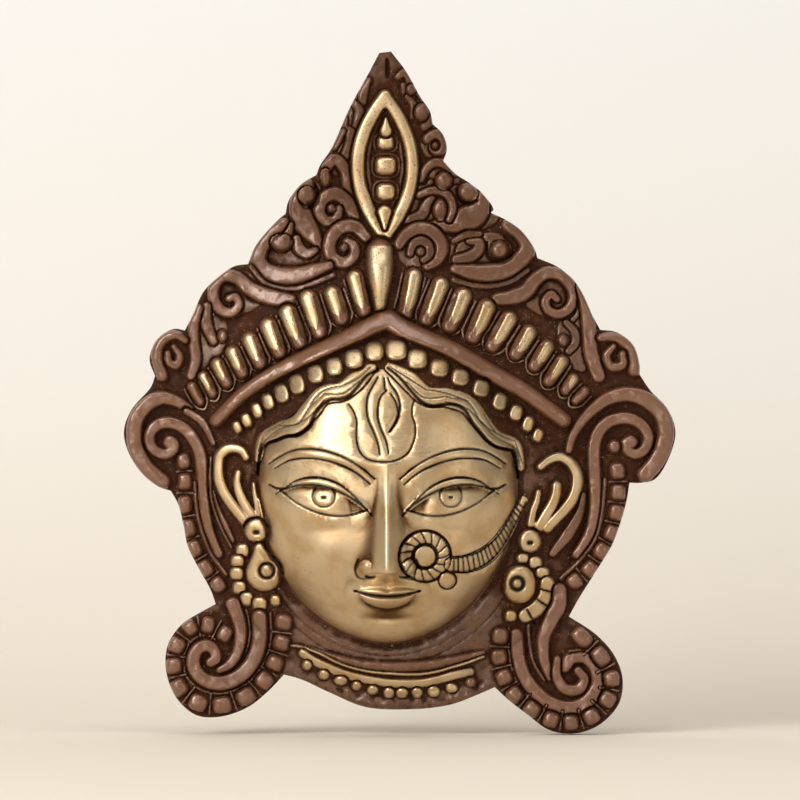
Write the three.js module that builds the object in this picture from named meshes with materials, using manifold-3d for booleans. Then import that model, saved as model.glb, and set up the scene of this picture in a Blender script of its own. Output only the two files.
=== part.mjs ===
// Cast brass wall mask of the goddess Durga: one hollow-backed casting, hung on a wall by a cast lug.
// Millimetres. X is to the viewer's right, Z is up, and the wall is the plane Y = 0.
// Depth is how far a surface stands out from the wall, so a point of the mask has Y = -depth.
// The origin is on the flat back of the hanging lug, high up behind the crown.

import * as THREE from "three";
import { mergeVertices } from "three/addons/utils/BufferGeometryUtils.js";
import Module from "manifold-3d";

const wasm = await Module();
wasm.setup();

// Driving dimensions
const RIM_DEPTH = 7; // thickness of the plate at its edge
const WALL = 3.6; // thickness of the metal
const SWELL = { x: 0, z: -62, rx: 66, rz: 80, rise: 12 }; // the plate swells forward behind the face
const FACE = { x: -2.2, z: -74, half: 43.6, up: 56, down: 51, edge: 11, rise: 27 };
const EYE = { reach: 21, z: -76.5, half: 14.5, tall: 4.6, tilt: 0.22 };
const NOSE = { bridge: -70, tip: -100, half: 6.6, rise: 12.5 };
const MOUTH = { z: -105.6, half: 11 };
const LUG = { half: 9, top: 3, bottom: -16 }; // the cast hanging lug
const LUG_EYE = { half: 5.5, top: -3, bottom: -12 }; // its square eye, for the nail
const SINK = 1.6; // how far a raised piece is rooted in the metal under it
const BRASS = { color: 0xb9975c, roughness: 0.42, metalness: 1 };

// The outline of the casting, lobe by lobe, clockwise from the tip of the crown, as [x, z].
// Each lobe is one smooth curve, and two lobes meet in a notch.
const LOBES = [
  [[-1, 73.3], [4.3, 66.3], [8.7, 58.3], [12, 53.3], [13, 49]],
  [[13, 49], [16.3, 45.7], [17.7, 41], [16.5, 36.7]],
  [[16.5, 36.7], [20.7, 32.3], [25.3, 29.3], [29.7, 25.7], [33.3, 20.3], [32, 19.5]],
  [[32, 19.5], [38, 16.7], [42.7, 13.3], [47, 7.3], [48, 4.2]],
  [[48, 4.2], [54.5, 1.4], [59.7, -2.7], [63.3, -8], [66.5, -15.2], [69, -19.8]],
  [[69, -19.8], [74.5, -20.6], [80, -24.8], [82.1, -31.2], [82.2, -34.8]],
  [[82.2, -34.8], [85.7, -40], [91.5, -46.2], [94.4, -54], [91.9, -62.8], [87.3, -69.8], [82.7, -71],
    [78.8, -71]],
  [[78.8, -71], [77.7, -77.5], [75.3, -85.8], [72.7, -92.3], [66.7, -102], [61.7, -110], [58.5, -115.8]],
  [[58.5, -115.8], [63.5, -118.9], [68.2, -122.3], [73.7, -128.7], [76.5, -136.7], [75.2, -145],
    [68.7, -152], [60.3, -154.9], [51.9, -153.7], [44.3, -148.3], [37.9, -143.3], [33.7, -139.4]],
  [[33.7, -139.4], [27.7, -142], [18.7, -145.3], [5.3, -146.8], [-9.7, -146], [-21.3, -141.3],
    [-31.3, -136.7], [-36.8, -135.2]],
  [[-36.8, -135.2], [-42.7, -141.3], [-49.3, -146.3], [-58.3, -149.3], [-66.3, -148.7], [-73, -142.7],
    [-76.3, -133.7], [-75.7, -125.3], [-71, -118.3], [-66.3, -115.3], [-59.7, -111.6]],
  [[-59.7, -111.6], [-61.3, -107], [-65.7, -99], [-69, -92.3], [-70.5, -85], [-72.3, -78], [-74.7, -73.7]],
  [[-74.7, -73.7], [-78.8, -72.3], [-84.5, -67.7], [-89, -60.5], [-90.4, -53.7], [-87.9, -46.6], [-81.4, -39],
    [-80, -35.3]],
  [[-80, -35.3], [-81.8, -29.5], [-79.3, -23], [-73.7, -19.5], [-70, -20]],
  [[-70, -20], [-67.3, -14.7], [-63.7, -7], [-58.3, -1.7], [-53.3, 1.5], [-48.8, 2.2]],
  [[-48.8, 2.2], [-46.7, 7.7], [-43.3, 12.3], [-38, 17.7], [-36.3, 19]],
  [[-36.3, 19], [-35.3, 23.3], [-31.3, 28.7], [-26, 32]],
  [[-26, 32], [-24.7, 35.3], [-21.3, 40.3], [-14.7, 54.7], [-8, 67], [-4.7, 73.3]],
];

// Surfaces: the front of the swelling plate, the front of the face, and whichever is nearer the viewer
function ground(x, z) {
  const far = ((x - SWELL.x) / SWELL.rx) ** 2 + ((z - SWELL.z) / SWELL.rz) ** 2;
  return RIM_DEPTH + SWELL.rise * Math.max(0, 1 - far) ** 0.7;
}

// 0 at the middle of the face and 1 on its outline, an oval that narrows to the chin
function facePlace(x, z) {
  const [reach, power] = z > FACE.z ? [FACE.up, 2.3] : [FACE.down, 1.92];
  const across = Math.abs((x - FACE.x) / FACE.half) ** power;
  return (across + Math.abs((z - FACE.z) / reach) ** power) ** (1 / power);
}

function faceDepth(place, inset = 0) {
  return FACE.edge + FACE.rise * Math.max(0, 1 - place ** 2.3) ** 0.55 - inset;
}

function front(x, z) {
  const place = facePlace(x, z);
  return place < 1 ? Math.max(ground(x, z), faceDepth(place)) : ground(x, z);
}

// Solids
const at = (x, z, depth) => new THREE.Vector3(x, -depth, z);

// A three.js geometry as a solid that can be joined and cut
function solid(geometry) {
  const bare = geometry.clone();
  bare.deleteAttribute("normal");
  bare.deleteAttribute("uv");
  const merged = mergeVertices(bare, 1e-4);
  const vertProperties = new Float32Array(merged.getAttribute("position").array);
  const triVerts = new Uint32Array(merged.index.array);
  return new wasm.Manifold(new wasm.Mesh({ numProp: 3, vertProperties, triVerts }));
}

// A skin over rings of points, each ring with as many points as the last, closed flat at both ends
function skin(rings) {
  const count = rings[0].length;
  const faces = [];
  rings.slice(1).forEach((ring, i) => {
    for (let k = 0; k < count; k++) {
      const [a, b] = [i * count + k, i * count + ((k + 1) % count)];
      faces.push(a, b, b + count, a, b + count, a + count);
    }
  });
  const last = (rings.length - 1) * count;
  for (let k = 1; k < count - 1; k++) {
    faces.push(0, k + 1, k, last, last + k, last + k + 1);
  }
  const geometry = new THREE.BufferGeometry().setFromPoints(rings.flat());
  geometry.setIndex(faces);
  const made = solid(geometry);
  if (made.volume() > 0) return made;
  geometry.setIndex(faces.reverse());
  return solid(geometry);
}

// Sections of a raised band, as [across, up] from one foot to the other, across in halves of the width
const ROOF = [[-1, 0], [0, 1], [1, 0]];
const ROUND = [[-1, 0], [-0.52, 1], [0.52, 1], [1, 0]];

// A raised band along a curve through points [x, z], its width going from first to last.
// A band that is an almond is widest in the middle, and comes to a point at both ends.
function band(points, [first, last], rise, options = {}) {
  const { section = ROOF, level = front, step = 8.5, almond = false } = options;
  const path = new THREE.CatmullRomCurve3(points.map(([x, z]) => at(x, z, 0)), false, "centripetal");
  const steps = Math.max(1, Math.round(path.getLength() / step));
  const rings = [];
  for (let i = 0; i <= steps; i++) {
    const share = i / steps;
    const middle = path.getPointAt(share);
    const along = path.getTangentAt(share);
    const end = i === 0 || i === steps;
    const blunt = almond ? Math.max(0.1, Math.sin(Math.PI * share)) : end ? 0.55 : 1; // the ends draw in
    const half = (blunt * (first + (last - first) * share)) / 2;
    const foot = level(middle.x, middle.z);
    rings.push(section.map(([across, up]) => at(
      middle.x + along.z * half * across,
      middle.z - along.x * half * across,
      foot + (up > 0 ? up * rise * (blunt + 1) / 2 : -SINK),
    )));
  }
  return skin(rings);
}

// A curl that winds round a middle, from one radius and angle to another, in degrees from +X towards +Z
function curl([x, z], [firstRadius, lastRadius], [firstAngle, lastAngle]) {
  const count = Math.ceil(Math.abs(lastAngle - firstAngle) / 40);
  const points = [];
  for (let i = 0; i <= count; i++) {
    const share = i / count;
    const angle = THREE.MathUtils.degToRad(firstAngle + (lastAngle - firstAngle) * share);
    const radius = firstRadius + (lastRadius - firstRadius) * share;
    points.push([x + radius * Math.cos(angle), z + radius * Math.sin(angle)]);
  }
  return points;
}

// A round-topped boss with its foot rooted in the metal, width by height as seen from the front
function bead([x, z], [wide, tall], rise, { sides = 6 } = {}) {
  const profile = [[0, -SINK], [1.08, -SINK], [0.86, rise * 0.62], [0, rise]];
  const dome = new THREE.LatheGeometry(profile.map(([r, up]) => new THREE.Vector2(r, up)), sides);
  dome.rotateX(Math.PI).scale(wide / 2, 1, tall / 2);
  dome.translate(x, -front(x, z), z);
  return solid(dome);
}

// Beads in a row along a curve, each as far from the next as their sizes ask
function beadRow(points, count, [first, last], rise, sides = 5) {
  const path = new THREE.SplineCurve(points.map(([x, z]) => new THREE.Vector2(x, z)));
  const size = (i) => first + ((last - first) * i) / (count - 1);
  let room = 0;
  const places = [0];
  for (let i = 1; i < count; i++) {
    room += (size(i - 1) + size(i)) / 2;
    places.push(room);
  }
  return places.map((place, i) => {
    const spot = path.getPointAt(place / room);
    return bead([spot.x, spot.y], [size(i), size(i) * 1.12], rise, { sides });
  });
}

// Plate: the outline cut from flat metal, the swelling in its middle and the dome of the face
function outline() {
  const shape = new THREE.Shape();
  shape.moveTo(...LOBES[0][0]);
  LOBES.forEach((lobe) => {
    shape.splineThru(lobe.slice(1).map(([x, z]) => new THREE.Vector2(x, z)));
  });
  return shape;
}

function plate() {
  const flat = new THREE.ExtrudeGeometry(outline(), {
    depth: RIM_DEPTH,
    bevelEnabled: false,
    curveSegments: 1,
  });
  return solid(flat.rotateX(Math.PI / 2));
}

// An oval mound on the plate, as rings from its foot to its top; inset draws it in for the hollow behind
function swelling(inset, sides) {
  const shares = [1, 0.85, 0.5];
  const profile = shares.map((share) => new THREE.Vector2(
    share,
    RIM_DEPTH - inset + SWELL.rise * (1 - share ** 2) ** 0.7,
  ));
  const start = inset > 0 ? -1 : RIM_DEPTH - WALL;
  profile.unshift(new THREE.Vector2(0, start), new THREE.Vector2(1, start));
  profile.push(new THREE.Vector2(0, RIM_DEPTH - inset + SWELL.rise));
  const mound = new THREE.LatheGeometry(profile, sides);
  mound.rotateX(Math.PI).scale(SWELL.rx - inset, 1, SWELL.rz - inset);
  return solid(mound.translate(SWELL.x, 0, SWELL.z));
}

function faceDome(inset, sides) {
  const start = inset > 0 ? -1 : RIM_DEPTH - WALL;
  const shares = [1, 1, 0.95, 0.82, 0.58, 0.25];
  const rings = shares.map((share, level) => {
    const ring = [];
    for (let k = 0; k < sides; k++) {
      const angle = (2 * Math.PI * k) / sides;
      const [dx, dz] = [Math.cos(angle), Math.sin(angle)];
      const reach = share / facePlace(FACE.x + dx, FACE.z + dz) - inset * share;
      ring.push(at(FACE.x + dx * reach, FACE.z + dz * reach, level ? faceDepth(share, inset) : start));
    }
    return ring;
  });
  return skin(rings);
}

// Crown: the almond panel with its drops, the leaves at its edges and the finial knob below it
function almondPanel() {
  const ALMOND = { x: -3, z: 34.8, half: 9.2, tall: 23.2 };
  const side = (sign) => {
    const points = [];
    for (let share = -1; share < 1.1; share += 1 / 3) {
      points.push([ALMOND.x + sign * ALMOND.half * (1 - share ** 2), ALMOND.z + ALMOND.tall * share]);
    }
    return band(points, [3.8, 3.8], 2.6, { section: ROUND, step: 7 });
  };
  const drops = [[47.9, 3.2, 4.6], [42.7, 5.3, 4.2], [35, 6.6, 5.8], [26.3, 6, 5.4], [18, 4.8, 7.6]];
  return [
    side(-1),
    side(1),
    ...drops.map(([z, wide, tall]) => bead([ALMOND.x, z], [wide, tall], 2.4)),
    band([[-2.2, 71.5], [-2.2, 65]], [2.6, 2.6], 1.6),
  ];
}

function finialKnob() {
  const profile = [[0, -13.5], [1.5, -13], [1.7, -9.5], [3.6, -5.5], [4.9, 0], [4.7, 5], [3, 9], [0, 11.2]];
  const knob = new THREE.LatheGeometry(profile.map(([r, z]) => new THREE.Vector2(r, z)), 10);
  const foot = ground(-4.7, 0);
  knob.rotateX(Math.PI / 2).scale(1, 1.35, 1).translate(-4.7, 1 - foot, 0);
  return solid(knob).trimByPlane([0, -1, 0], foot - SINK);
}

// Edge leaves and small curls beside the almond panel
function edgeLeaves() {
  return [
    band([[-14.8, 52.5], [-11.8, 57.5], [-8.6, 63.5]], [2.6, 3.4], 1.8),
    band([[-19.6, 41.5], [-16.2, 45.5], [-13.4, 51.5]], [3, 4.4], 1.8),
    band([[4.2, 63], [6.4, 58], [4.6, 54.6]], [3.2, 2], 1.8),
    bead([9.7, 52.3], [4.4, 5], 1.8),
    band(curl([14.2, 41.8], [3.3, 1.4], [100, -260]), [2, 1.6], 1.8, { step: 3 }),
  ];
}

// The scrolls of the crown, left and right: bands that curl round bosses
function leftScrolls() {
  const lip = { section: ROUND };
  return [
    bead([-23, 31], [2.9, 5.3], 2.2),
    band([[-25, 33.6], [-19.7, 36.2], [-16.2, 32], [-15, 26.5]], [2.6, 2.4], 2.2),
    band([[-25.4, 9.8], [-30.2, 15.6], [-33.2, 21.6], [-30.6, 26.4]], [7, 4.6], 3, lip),
    bead([-28.6, 25.3], [5.8, 6], 3.2),
    band(curl([-19.4, 20.3], [6.2, 2.4], [-30, 300]), [3, 2.4], 2.6, { step: 4 }),
    band(curl([-16.6, 7.8], [7, 2.8], [20, 350]), [3, 2.4], 2.6, { step: 4 }),
    band([[-36.6, 16], [-42.4, 12.6], [-45.5, 6.6], [-43.6, 1.4], [-37, -0.8], [-29.7, 0.8], [-24, 2.6]],
      [5, 3], 3.2, lip),
    bead([-37.6, 9.6], [7.2, 6], 3),
    band([[-32, 9.4], [-31, 6.2], [-27.6, 6]], [2.4, 3], 2),
    band([[-45.6, -0.6], [-41.6, -4.2], [-35.6, -5], [-28.6, -3], [-21, 0.2]], [2, 2], 1.8),
    band([[-34.2, -8.2], [-44, -5.6], [-51.4, -0.6], [-57, -1.6], [-60.8, -6.6], [-58.4, -12], [-54, -12.4]],
      [5.4, 3.2], 3, lip),
    bead([-54.7, -9], [4.2, 4.2], 2.8),
    band([[-63.4, -8.6], [-61.6, -15.4], [-58.8, -20.2], [-60.6, -25.6]], [3, 3], 2),
    bead([-63, -22.6], [3.4, 4.8], 2),
  ];
}

function rightScrolls() {
  const lip = { section: ROUND };
  return [
    bead([16.3, 29.7], [6, 6], 3),
    band(curl([16.2, 29.8], [6.6, 4.6], [175, 60]), [2.4, 2], 2.2),
    band([[13.6, 15.2], [20, 13.6], [26.6, 14.8], [31, 19], [29.4, 24.6]], [3, 7], 3, lip),
    bead([25.2, 25.6], [6.6, 6.6], 3.4),
    bead([21.4, 20.4], [5, 5.4], 2.6),
    bead([15.6, 20], [5.6, 6.4], 2.6),
    band([[3.4, 15.6], [8.6, 18.6], [9, 24.6], [15.2, 25.6], [18.8, 21], [17.6, 17]], [2.6, 2.4], 2.4,
      { step: 4 }),
    band(curl([9.2, 7], [7.2, 6], [165, -70]), [3, 2.6], 2.6, { step: 4 }),
    band(curl([9.2, 6], [3.4, 2.6], [150, -160]), [2.2, 2], 2.2, { step: 3.4 }),
    band([[20.4, 4], [26, 4.4], [29, 8.2], [25.4, 10.2], [21.6, 8.4]], [3.6, 2.6], 2.2, { step: 4 }),
    band([[20.6, 0.6], [27, -0.8], [36, -0.4], [42.4, 3], [44, 8.6], [41.4, 12.8]], [3.4, 4.6], 3.2, lip),
    bead([35.3, 7], [6.2, 6], 3),
    band([[35.2, -8.8], [43, -7], [47.6, -1.2], [53.4, 0.2], [59, -5], [59.2, -11.8], [53.4, -14.4]],
      [5, 3], 3, lip),
    bead([52.4, -8.6], [5.2, 5.2], 2.8),
    band([[63, -7], [63.8, -15], [66, -23], [66.2, -30.4], [68.6, -36]], [4.4, 4], 2.2),
    bead([59.3, -23.3], [4, 4], 2),
  ];
}

// Ten flutes stand on each arm of the headband, each between two thin ribs
function flutes(feet, heads) {
  const FLUTES = 10;
  const foot = new THREE.SplineCurve(feet.map(([x, z]) => new THREE.Vector2(x, z)));
  const head = new THREE.SplineCurve(heads.map(([x, z]) => new THREE.Vector2(x, z)));
  const made = [];
  for (let i = 0; i < FLUTES; i++) {
    const share = i / (FLUTES - 1);
    const [low, high] = [foot.getPointAt(share), head.getPointAt(share)];
    const wide = 4.4 - 1.4 * share;
    made.push(band([[low.x, low.y], [high.x, high.y]], [wide, wide * 0.6], 2.2, { level: ground, step: 9 }));
  }
  return made;
}

// The small round scroll above each side volute
function sideCurl([x, z], radius) {
  return [
    band(curl([x, z], [radius * 0.72, radius * 0.6], [60, -280]), [3, 2.4], 2.4, { step: 5 }),
    bead([x, z], [radius * 0.5, radius * 0.5], 2),
  ];
}

// Headband: a thick roll that rises to a point in the middle, with a row of beads under it
function headband() {
  const left = [[-59, -49], [-51.3, -42.3], [-36.3, -32], [-19.7, -24.3], [-1.6, -17]];
  const right = [[-1.2, -17.4], [10.3, -22.7], [25.3, -30], [38.7, -37.7], [56, -49.3]];
  const roll = { section: ROUND, step: 10 };
  return [
    band(left, [5.6, 6.6], 5.4, roll),
    band(right, [6.6, 5.6], 5.4, roll),
    ...beadRow([[-6.5, -27.3], [-19.8, -32.2], [-37.7, -41], [-52.3, -52.3]], 10, [6.6, 4.4], 4, 6),
    ...beadRow([[0.8, -26.9], [15, -32.7], [29, -39.3], [48, -55]], 9, [7.2, 4.6], 4, 6),
  ];
}

// Hair: a wavy lock that falls from the parting to each temple
function hair() {
  const lock = { section: ROUND, step: 7 };
  return [
    band([[-6.6, -33.4], [-14, -39.3], [-21.5, -41.4], [-26.5, -46], [-32, -51.5], [-40, -54.6], [-44.4, -60],
      [-45, -68]], [3.6, 5], 2.2, lock),
    band([[-1, -33], [7, -39.3], [15.3, -43], [21.7, -43.4], [26.5, -48], [31.5, -54.5], [38.5, -57.5],
      [42.6, -62], [43, -71]], [3.6, 5], 2.2, lock),
  ];
}

// Face: the features of a temple mask, set out on the middle line and mirrored
function features() {
  const onFace = (x, z) => [FACE.x + x, z];
  const made = [];
  [-1, 1].forEach((side) => {
    const lid = (up) => [-1, -0.5, 0.1, 0.6, 1].map((share) => onFace(
      side * (EYE.reach + share * EYE.half),
      EYE.z + share * EYE.half * EYE.tilt + up * (1 - share ** 2),
    ));
    made.push(band(lid(0), [2 * EYE.tall, 2 * EYE.tall], 1.8, { section: ROUND, almond: true, step: 5 }));
    made.push(band(lid(EYE.tall + 1), [1.8, 1.8], 2.6, { step: 9 }));
    made.push(band(lid(-EYE.tall - 0.6), [1.6, 1.6], 1.8, { step: 9 }));
    const brow = [[3.6, -69.5], [12, -63.4], [24, -59.6], [34, -61], [39.6, -65]];
    made.push(band(brow.map(([x, z]) => onFace(side * x, z)), [3, 2.6], 1.6, { step: 11 }));
    made.push(bead(onFace(side * 6.3, NOSE.tip + 1.2), [6.4, 6.4], 5, { sides: 6 }));
  });
  made.push(nose());
  made.push(bead(onFace(0, -53), [5, 13], 1.2));
  const upper = [[-MOUTH.half, 1.4], [-4.6, 1.6], [0, 0.4], [4.6, 1.6], [MOUTH.half, 1.4]];
  const lower = [[-MOUTH.half + 2.2, -1.2], [0, -5.6], [MOUTH.half - 2.2, -1.2]];
  const onMouth = (points) => points.map(([x, z]) => onFace(x, MOUTH.z + z));
  made.push(band(onMouth(upper), [3.4, 3.4], 2.6, { step: 7 }));
  made.push(band(onMouth(lower), [4.6, 4.6], 2.8, { section: ROUND, step: 6 }));
  return made;
}

// The nose widens and stands out from the bridge down to the tip
function nose() {
  const rings = [];
  for (let i = 0; i <= 5; i++) {
    const share = i / 4;
    const z = NOSE.bridge + (NOSE.tip - NOSE.bridge) * Math.min(share, 1.08);
    const half = 4 + (NOSE.half - 4) * Math.min(share, 1) ** 1.4;
    const stands = share > 1 ? 3 : 2 + (NOSE.rise - 2) * share ** 1.4;
    const foot = faceDepth(facePlace(FACE.x, z));
    rings.push([
      at(FACE.x - half, z, foot - SINK),
      at(FACE.x - half * 0.3, z, foot + stands),
      at(FACE.x + half * 0.3, z, foot + stands),
      at(FACE.x + half, z, foot - SINK),
    ]);
  }
  return skin(rings);
}

// Nose ring, its drop and the chain that runs from it over the cheek to the hair
function noseRing() {
  return [
    band(curl([10.3, -95], [6.4, 6.4], [150, -170]), [3.8, 3.8], 2.4, { section: ROUND, step: 5 }),
    bead([17.6, -103], [5.4, 5.4], 2.2),
    band([[18.4, -97.8], [26, -97.2], [33.4, -92.6], [38.4, -86], [42, -78.4]], [5, 3], 1.3, { step: 7 }),
  ];
}

// Ears with their folds, a stud and a drop earring ringed with small beads
function ears() {
  const fold = { step: 6 };
  return [
    band([[-49.7, -59.4], [-55.6, -59.8], [-58.7, -65.6], [-57.4, -73.2], [-50.4, -83.2]],
      [2.8, 2.8], 3, fold),
    band([[-52.2, -67], [-52.2, -73], [-47.4, -81.2]], [2.4, 2.8], 2.2, fold),
    band([[-46.9, -70.6], [-46.2, -76], [-44.8, -81.3]], [1.4, 2], 2, fold),
    band([[49, -65.4], [55.2, -62.6], [60.8, -68], [59.8, -76], [51.8, -86]], [2.8, 3], 3, fold),
    band([[54.3, -71.4], [53.4, -77.5], [49.8, -84]], [2.6, 2.8], 2.2, fold),
    band([[48.3, -73.6], [46.9, -79], [45, -84.2]], [2, 2.4], 2, fold),
  ];
}

function earring(stud, drop, [wide, tall], ring, firstAngle, step, count) {
  const made = [
    bead(stud, [7.6, 7.6], 3.4, { sides: 7 }),
    bead(drop, [wide, tall], 3, { sides: 9 }),
    bead(drop, [4, 4], 4.6),
  ];
  for (let i = 0; i < count; i++) {
    const angle = THREE.MathUtils.degToRad(firstAngle + step * i);
    const place = [drop[0] + ring * Math.cos(angle), drop[1] + ring * Math.sin(angle)];
    made.push(bead(place, [4.5, 4.5], 2.2, { sides: 5 }));
  }
  return made;
}

// Side volutes: a broad outer lip, and a stem that rises beside the ear and winds into a boss
function sideVolutes() {
  const lip = { section: ROUND, step: 9.5 };
  return [
    band([[-70.3, -46], [-76, -43], [-85, -46.4], [-89, -54], [-86.8, -62.6], [-78, -70.6]],
      [3.4, 3.8], 2.8, lip),
    band([[-61.5, -89], [-63.4, -76.7], [-64.6, -62], [-69, -54], [-76, -50.4], [-82, -54.4], [-81.6, -60],
      [-76, -62], [-72.6, -58.6]], [3, 2.6], 2.6, { step: 8 }),
    bead([-76, -57.2], [4.6, 4.6], 2.6),
    band([[-62.2, -70], [-59, -77], [-56.6, -83], [-53.4, -92.8]], [1.6, 1.6], 1.6, { step: 9 }),
    ...beadRow([[-70.3, -63.7], [-70.3, -78.3], [-67, -93], [-59.4, -104.6]], 7, [4, 4.4], 2.4),
    band([[59.2, -57.4], [64.7, -48.3], [77, -42.2], [89, -45.6], [92, -55], [86, -67.2]],
      [3.4, 3.8], 2.8, lip),
    band([[65.7, -89], [67.2, -76.7], [66.6, -60], [70, -51.7], [76.4, -49.4], [84, -52.4], [85.4, -58],
      [81.6, -61]], [3, 2.6], 2.6, { step: 8 }),
    bead([78.8, -57], [5.4, 5.4], 2.8),
    bead([72.6, -59], [3.6, 3.6], 2.2),
    ...beadRow([[74.8, -66.6], [74.6, -81], [69.4, -94], [60.2, -104.4]], 7, [4.6, 4.2], 2.4),
  ];
}

// Lower scrolls beside the neck, each edged with a row of beads
function lowerScrolls() {
  const strand = { section: ROUND, step: 8.5 };
  return [
    band([[-54.3, -110.7], [-51, -119.6], [-51.4, -127], [-55, -133]], [3, 2], 2, { step: 7 }),
    band([[-45, -115.6], [-45, -124.4], [-49.6, -132.6], [-58, -137.6], [-65, -136], [-67.6, -130],
      [-63.4, -125.4], [-59, -128.4], [-61.4, -131.8]], [4.4, 2.8], 2.8, strand),
    ...beadRow([[-37, -117.7], [-38.4, -127], [-43.7, -137], [-53.4, -144], [-63, -146.2], [-71, -141],
      [-74.8, -132], [-73.6, -124.4], [-68.4, -119.4], [-62.2, -117.4]], 13, [5.4, 4], 2.6),
    bead([-56.3, -121.7], [3, 4], 2),
    band([[54, -107.7], [52.4, -117.4], [49.2, -126], [51.4, -136], [58, -141.8], [64.6, -139],
      [62.8, -133.8], [57.6, -135.4]], [4, 2.8], 2.8, strand),
    band([[41, -123.4], [42.6, -133], [50, -143], [59, -146.4], [67, -142], [68.2, -133], [62, -128],
      [57.4, -130]], [4.2, 3.6], 2.8, strand),
    ...beadRow([[36, -122.8], [35.2, -131], [39.6, -141.6], [47.4, -148.6], [58, -151.6], [67.6, -148.4],
      [73.2, -139], [70.6, -130.6], [64.4, -124]], 12, [5.4, 4.6], 2.6),
  ];
}

// Collar: a thin rib, a flat gold band and a row of beads over the rough rim
function collar() {
  return [
    band([[-31.3, -124.7], [-19.7, -130.3], [-3, -134.5], [14.3, -134], [23.7, -131.3]], [1.6, 1.6], 1.6,
      { step: 12 }),
    band([[-31, -127.5], [-18.6, -133.6], [0, -137.8], [15, -136.4], [23.5, -134.4]], [3, 3], 1.8,
      { step: 12 }),
    ...beadRow([[-29.2, -132], [-18, -137], [-1.7, -141], [13.3, -140.7], [25.7, -137.3]], 11, [3.6, 4.2], 2),
  ];
}

// Back: hollows behind the swelling, the face and each lobe, as ovals [x, z, half width, half height]
function hollows() {
  const OVALS = [
    [-3, 37, 9, 22], [-2, 10, 28, 21], [0, -16, 52, 17], [-72, -55, 13, 11], [77, -56, 13, 11],
    [-60, -134, 9, 10], [60, -139, 11, 10], [0, -126, 27, 14],
  ];
  const deep = RIM_DEPTH - WALL;
  const ovals = OVALS.map(([x, z, rx, rz]) => {
    const oval = new THREE.CylinderGeometry(1, 1, 2 * deep, 12);
    return solid(oval.scale(rx, 1, rz).translate(x, 0, z));
  });
  return [...ovals, swelling(WALL, 14), faceDome(WALL, 14)];
}

// Hanging lug: a block with its back in the wall plane, rooted in the hollow, with a square eye for the nail
function hangingLug() {
  const rim = ({ half, top, bottom }, upper, lower) => [
    at(-half, top, upper), at(half, top, upper), at(half, bottom, lower), at(-half, bottom, lower),
  ];
  const root = [ground(0, LUG.top) - WALL + 1, ground(0, LUG.bottom) - WALL + 1];
  const block = skin([rim(LUG, 0, 0), rim(LUG, ...root)]);
  return [block.subtract(skin([rim(LUG_EYE, -1, -1), rim(LUG_EYE, 20, 20)]))];
}

const join = (solids) => solids.reduce((sum, next) => sum.add(next));

function maskCasting() {
  const shell = join([plate(), swelling(0, 18), faceDome(0, 24)]).subtract(join(hollows()));
  const relief = [
    ...almondPanel(), finialKnob(), ...edgeLeaves(), ...leftScrolls(), ...rightScrolls(),
    ...flutes([[-10.7, -13.3], [-32.7, -22.7], [-52, -33.3], [-66.3, -42.7]],
      [[-14.3, -0.6], [-38, -11.9], [-55.7, -25.3], [-68.7, -36.7]]),
    ...flutes([[3.7, -15.4], [28.7, -21.4], [48.3, -32.3], [60.3, -43.3]],
      [[7, 0.4], [33.3, -10.9], [53, -24.3], [65.3, -39]]),
    ...sideCurl([-75, -26.8], 6.6), ...sideCurl([74, -27.2], 7.4),
    ...headband(), ...hair(), ...features(), ...noseRing(), ...ears(),
    ...earring([-45.8, -87], [-43, -100.6], [11.6, 12.6], 9.8, 130, 26, 7),
    ...earring([45.3, -90.3], [41.6, -104.8], [10, 12], 9.4, 28, -27, 6),
    ...sideVolutes(), ...lowerScrolls(), ...collar(), ...hangingLug(),
  ];
  return shell.add(join(relief));
}

// The solid back as a three.js mesh
function meshOf(made, name, material) {
  const { vertProperties, triVerts } = made.getMesh();
  const geometry = new THREE.BufferGeometry();
  geometry.setAttribute("position", new THREE.BufferAttribute(vertProperties, 3));
  geometry.setIndex(new THREE.BufferAttribute(triVerts, 1));
  geometry.computeVertexNormals();
  const mesh = new THREE.Mesh(geometry, material);
  mesh.name = name;
  return mesh;
}

const mask = new THREE.Group();
mask.add(meshOf(maskCasting(), "mask_casting", new THREE.MeshStandardMaterial(BRASS)));

export default mask;
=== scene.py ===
import math

import bpy
import numpy as np
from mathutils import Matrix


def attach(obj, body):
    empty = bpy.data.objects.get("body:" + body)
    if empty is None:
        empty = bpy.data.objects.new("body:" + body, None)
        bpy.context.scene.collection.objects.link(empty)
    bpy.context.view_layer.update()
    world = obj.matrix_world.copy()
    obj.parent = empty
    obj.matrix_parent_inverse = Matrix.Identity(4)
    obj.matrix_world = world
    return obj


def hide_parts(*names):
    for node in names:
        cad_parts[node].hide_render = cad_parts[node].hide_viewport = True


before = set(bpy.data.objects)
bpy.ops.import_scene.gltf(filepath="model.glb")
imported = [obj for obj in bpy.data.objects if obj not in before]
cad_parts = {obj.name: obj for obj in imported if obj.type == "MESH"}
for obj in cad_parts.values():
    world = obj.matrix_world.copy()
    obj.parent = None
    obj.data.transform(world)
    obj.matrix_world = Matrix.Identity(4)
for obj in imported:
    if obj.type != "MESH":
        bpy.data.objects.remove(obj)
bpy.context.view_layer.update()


# Blank of the mask
# The mask is one sand casting in yellow brass: a plate 7 mm thick at its lobed edge, which swells forward
# behind the head. Its pattern is carved on a fine upright sheet, form by form, in millimetres: X to the
# right, Z up, and depth out from the wall. Each form raises or lowers the sheet over this smooth blank.
MM = 0.001
CELL = 0.34  # spacing of the sheet's points
LINE_STEP = 0.5  # spacing of the points along a curve
RIM_DEPTH = 7
SWELL = {"x": 0, "z": -62, "rx": 66, "rz": 80, "rise": 12}
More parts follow.
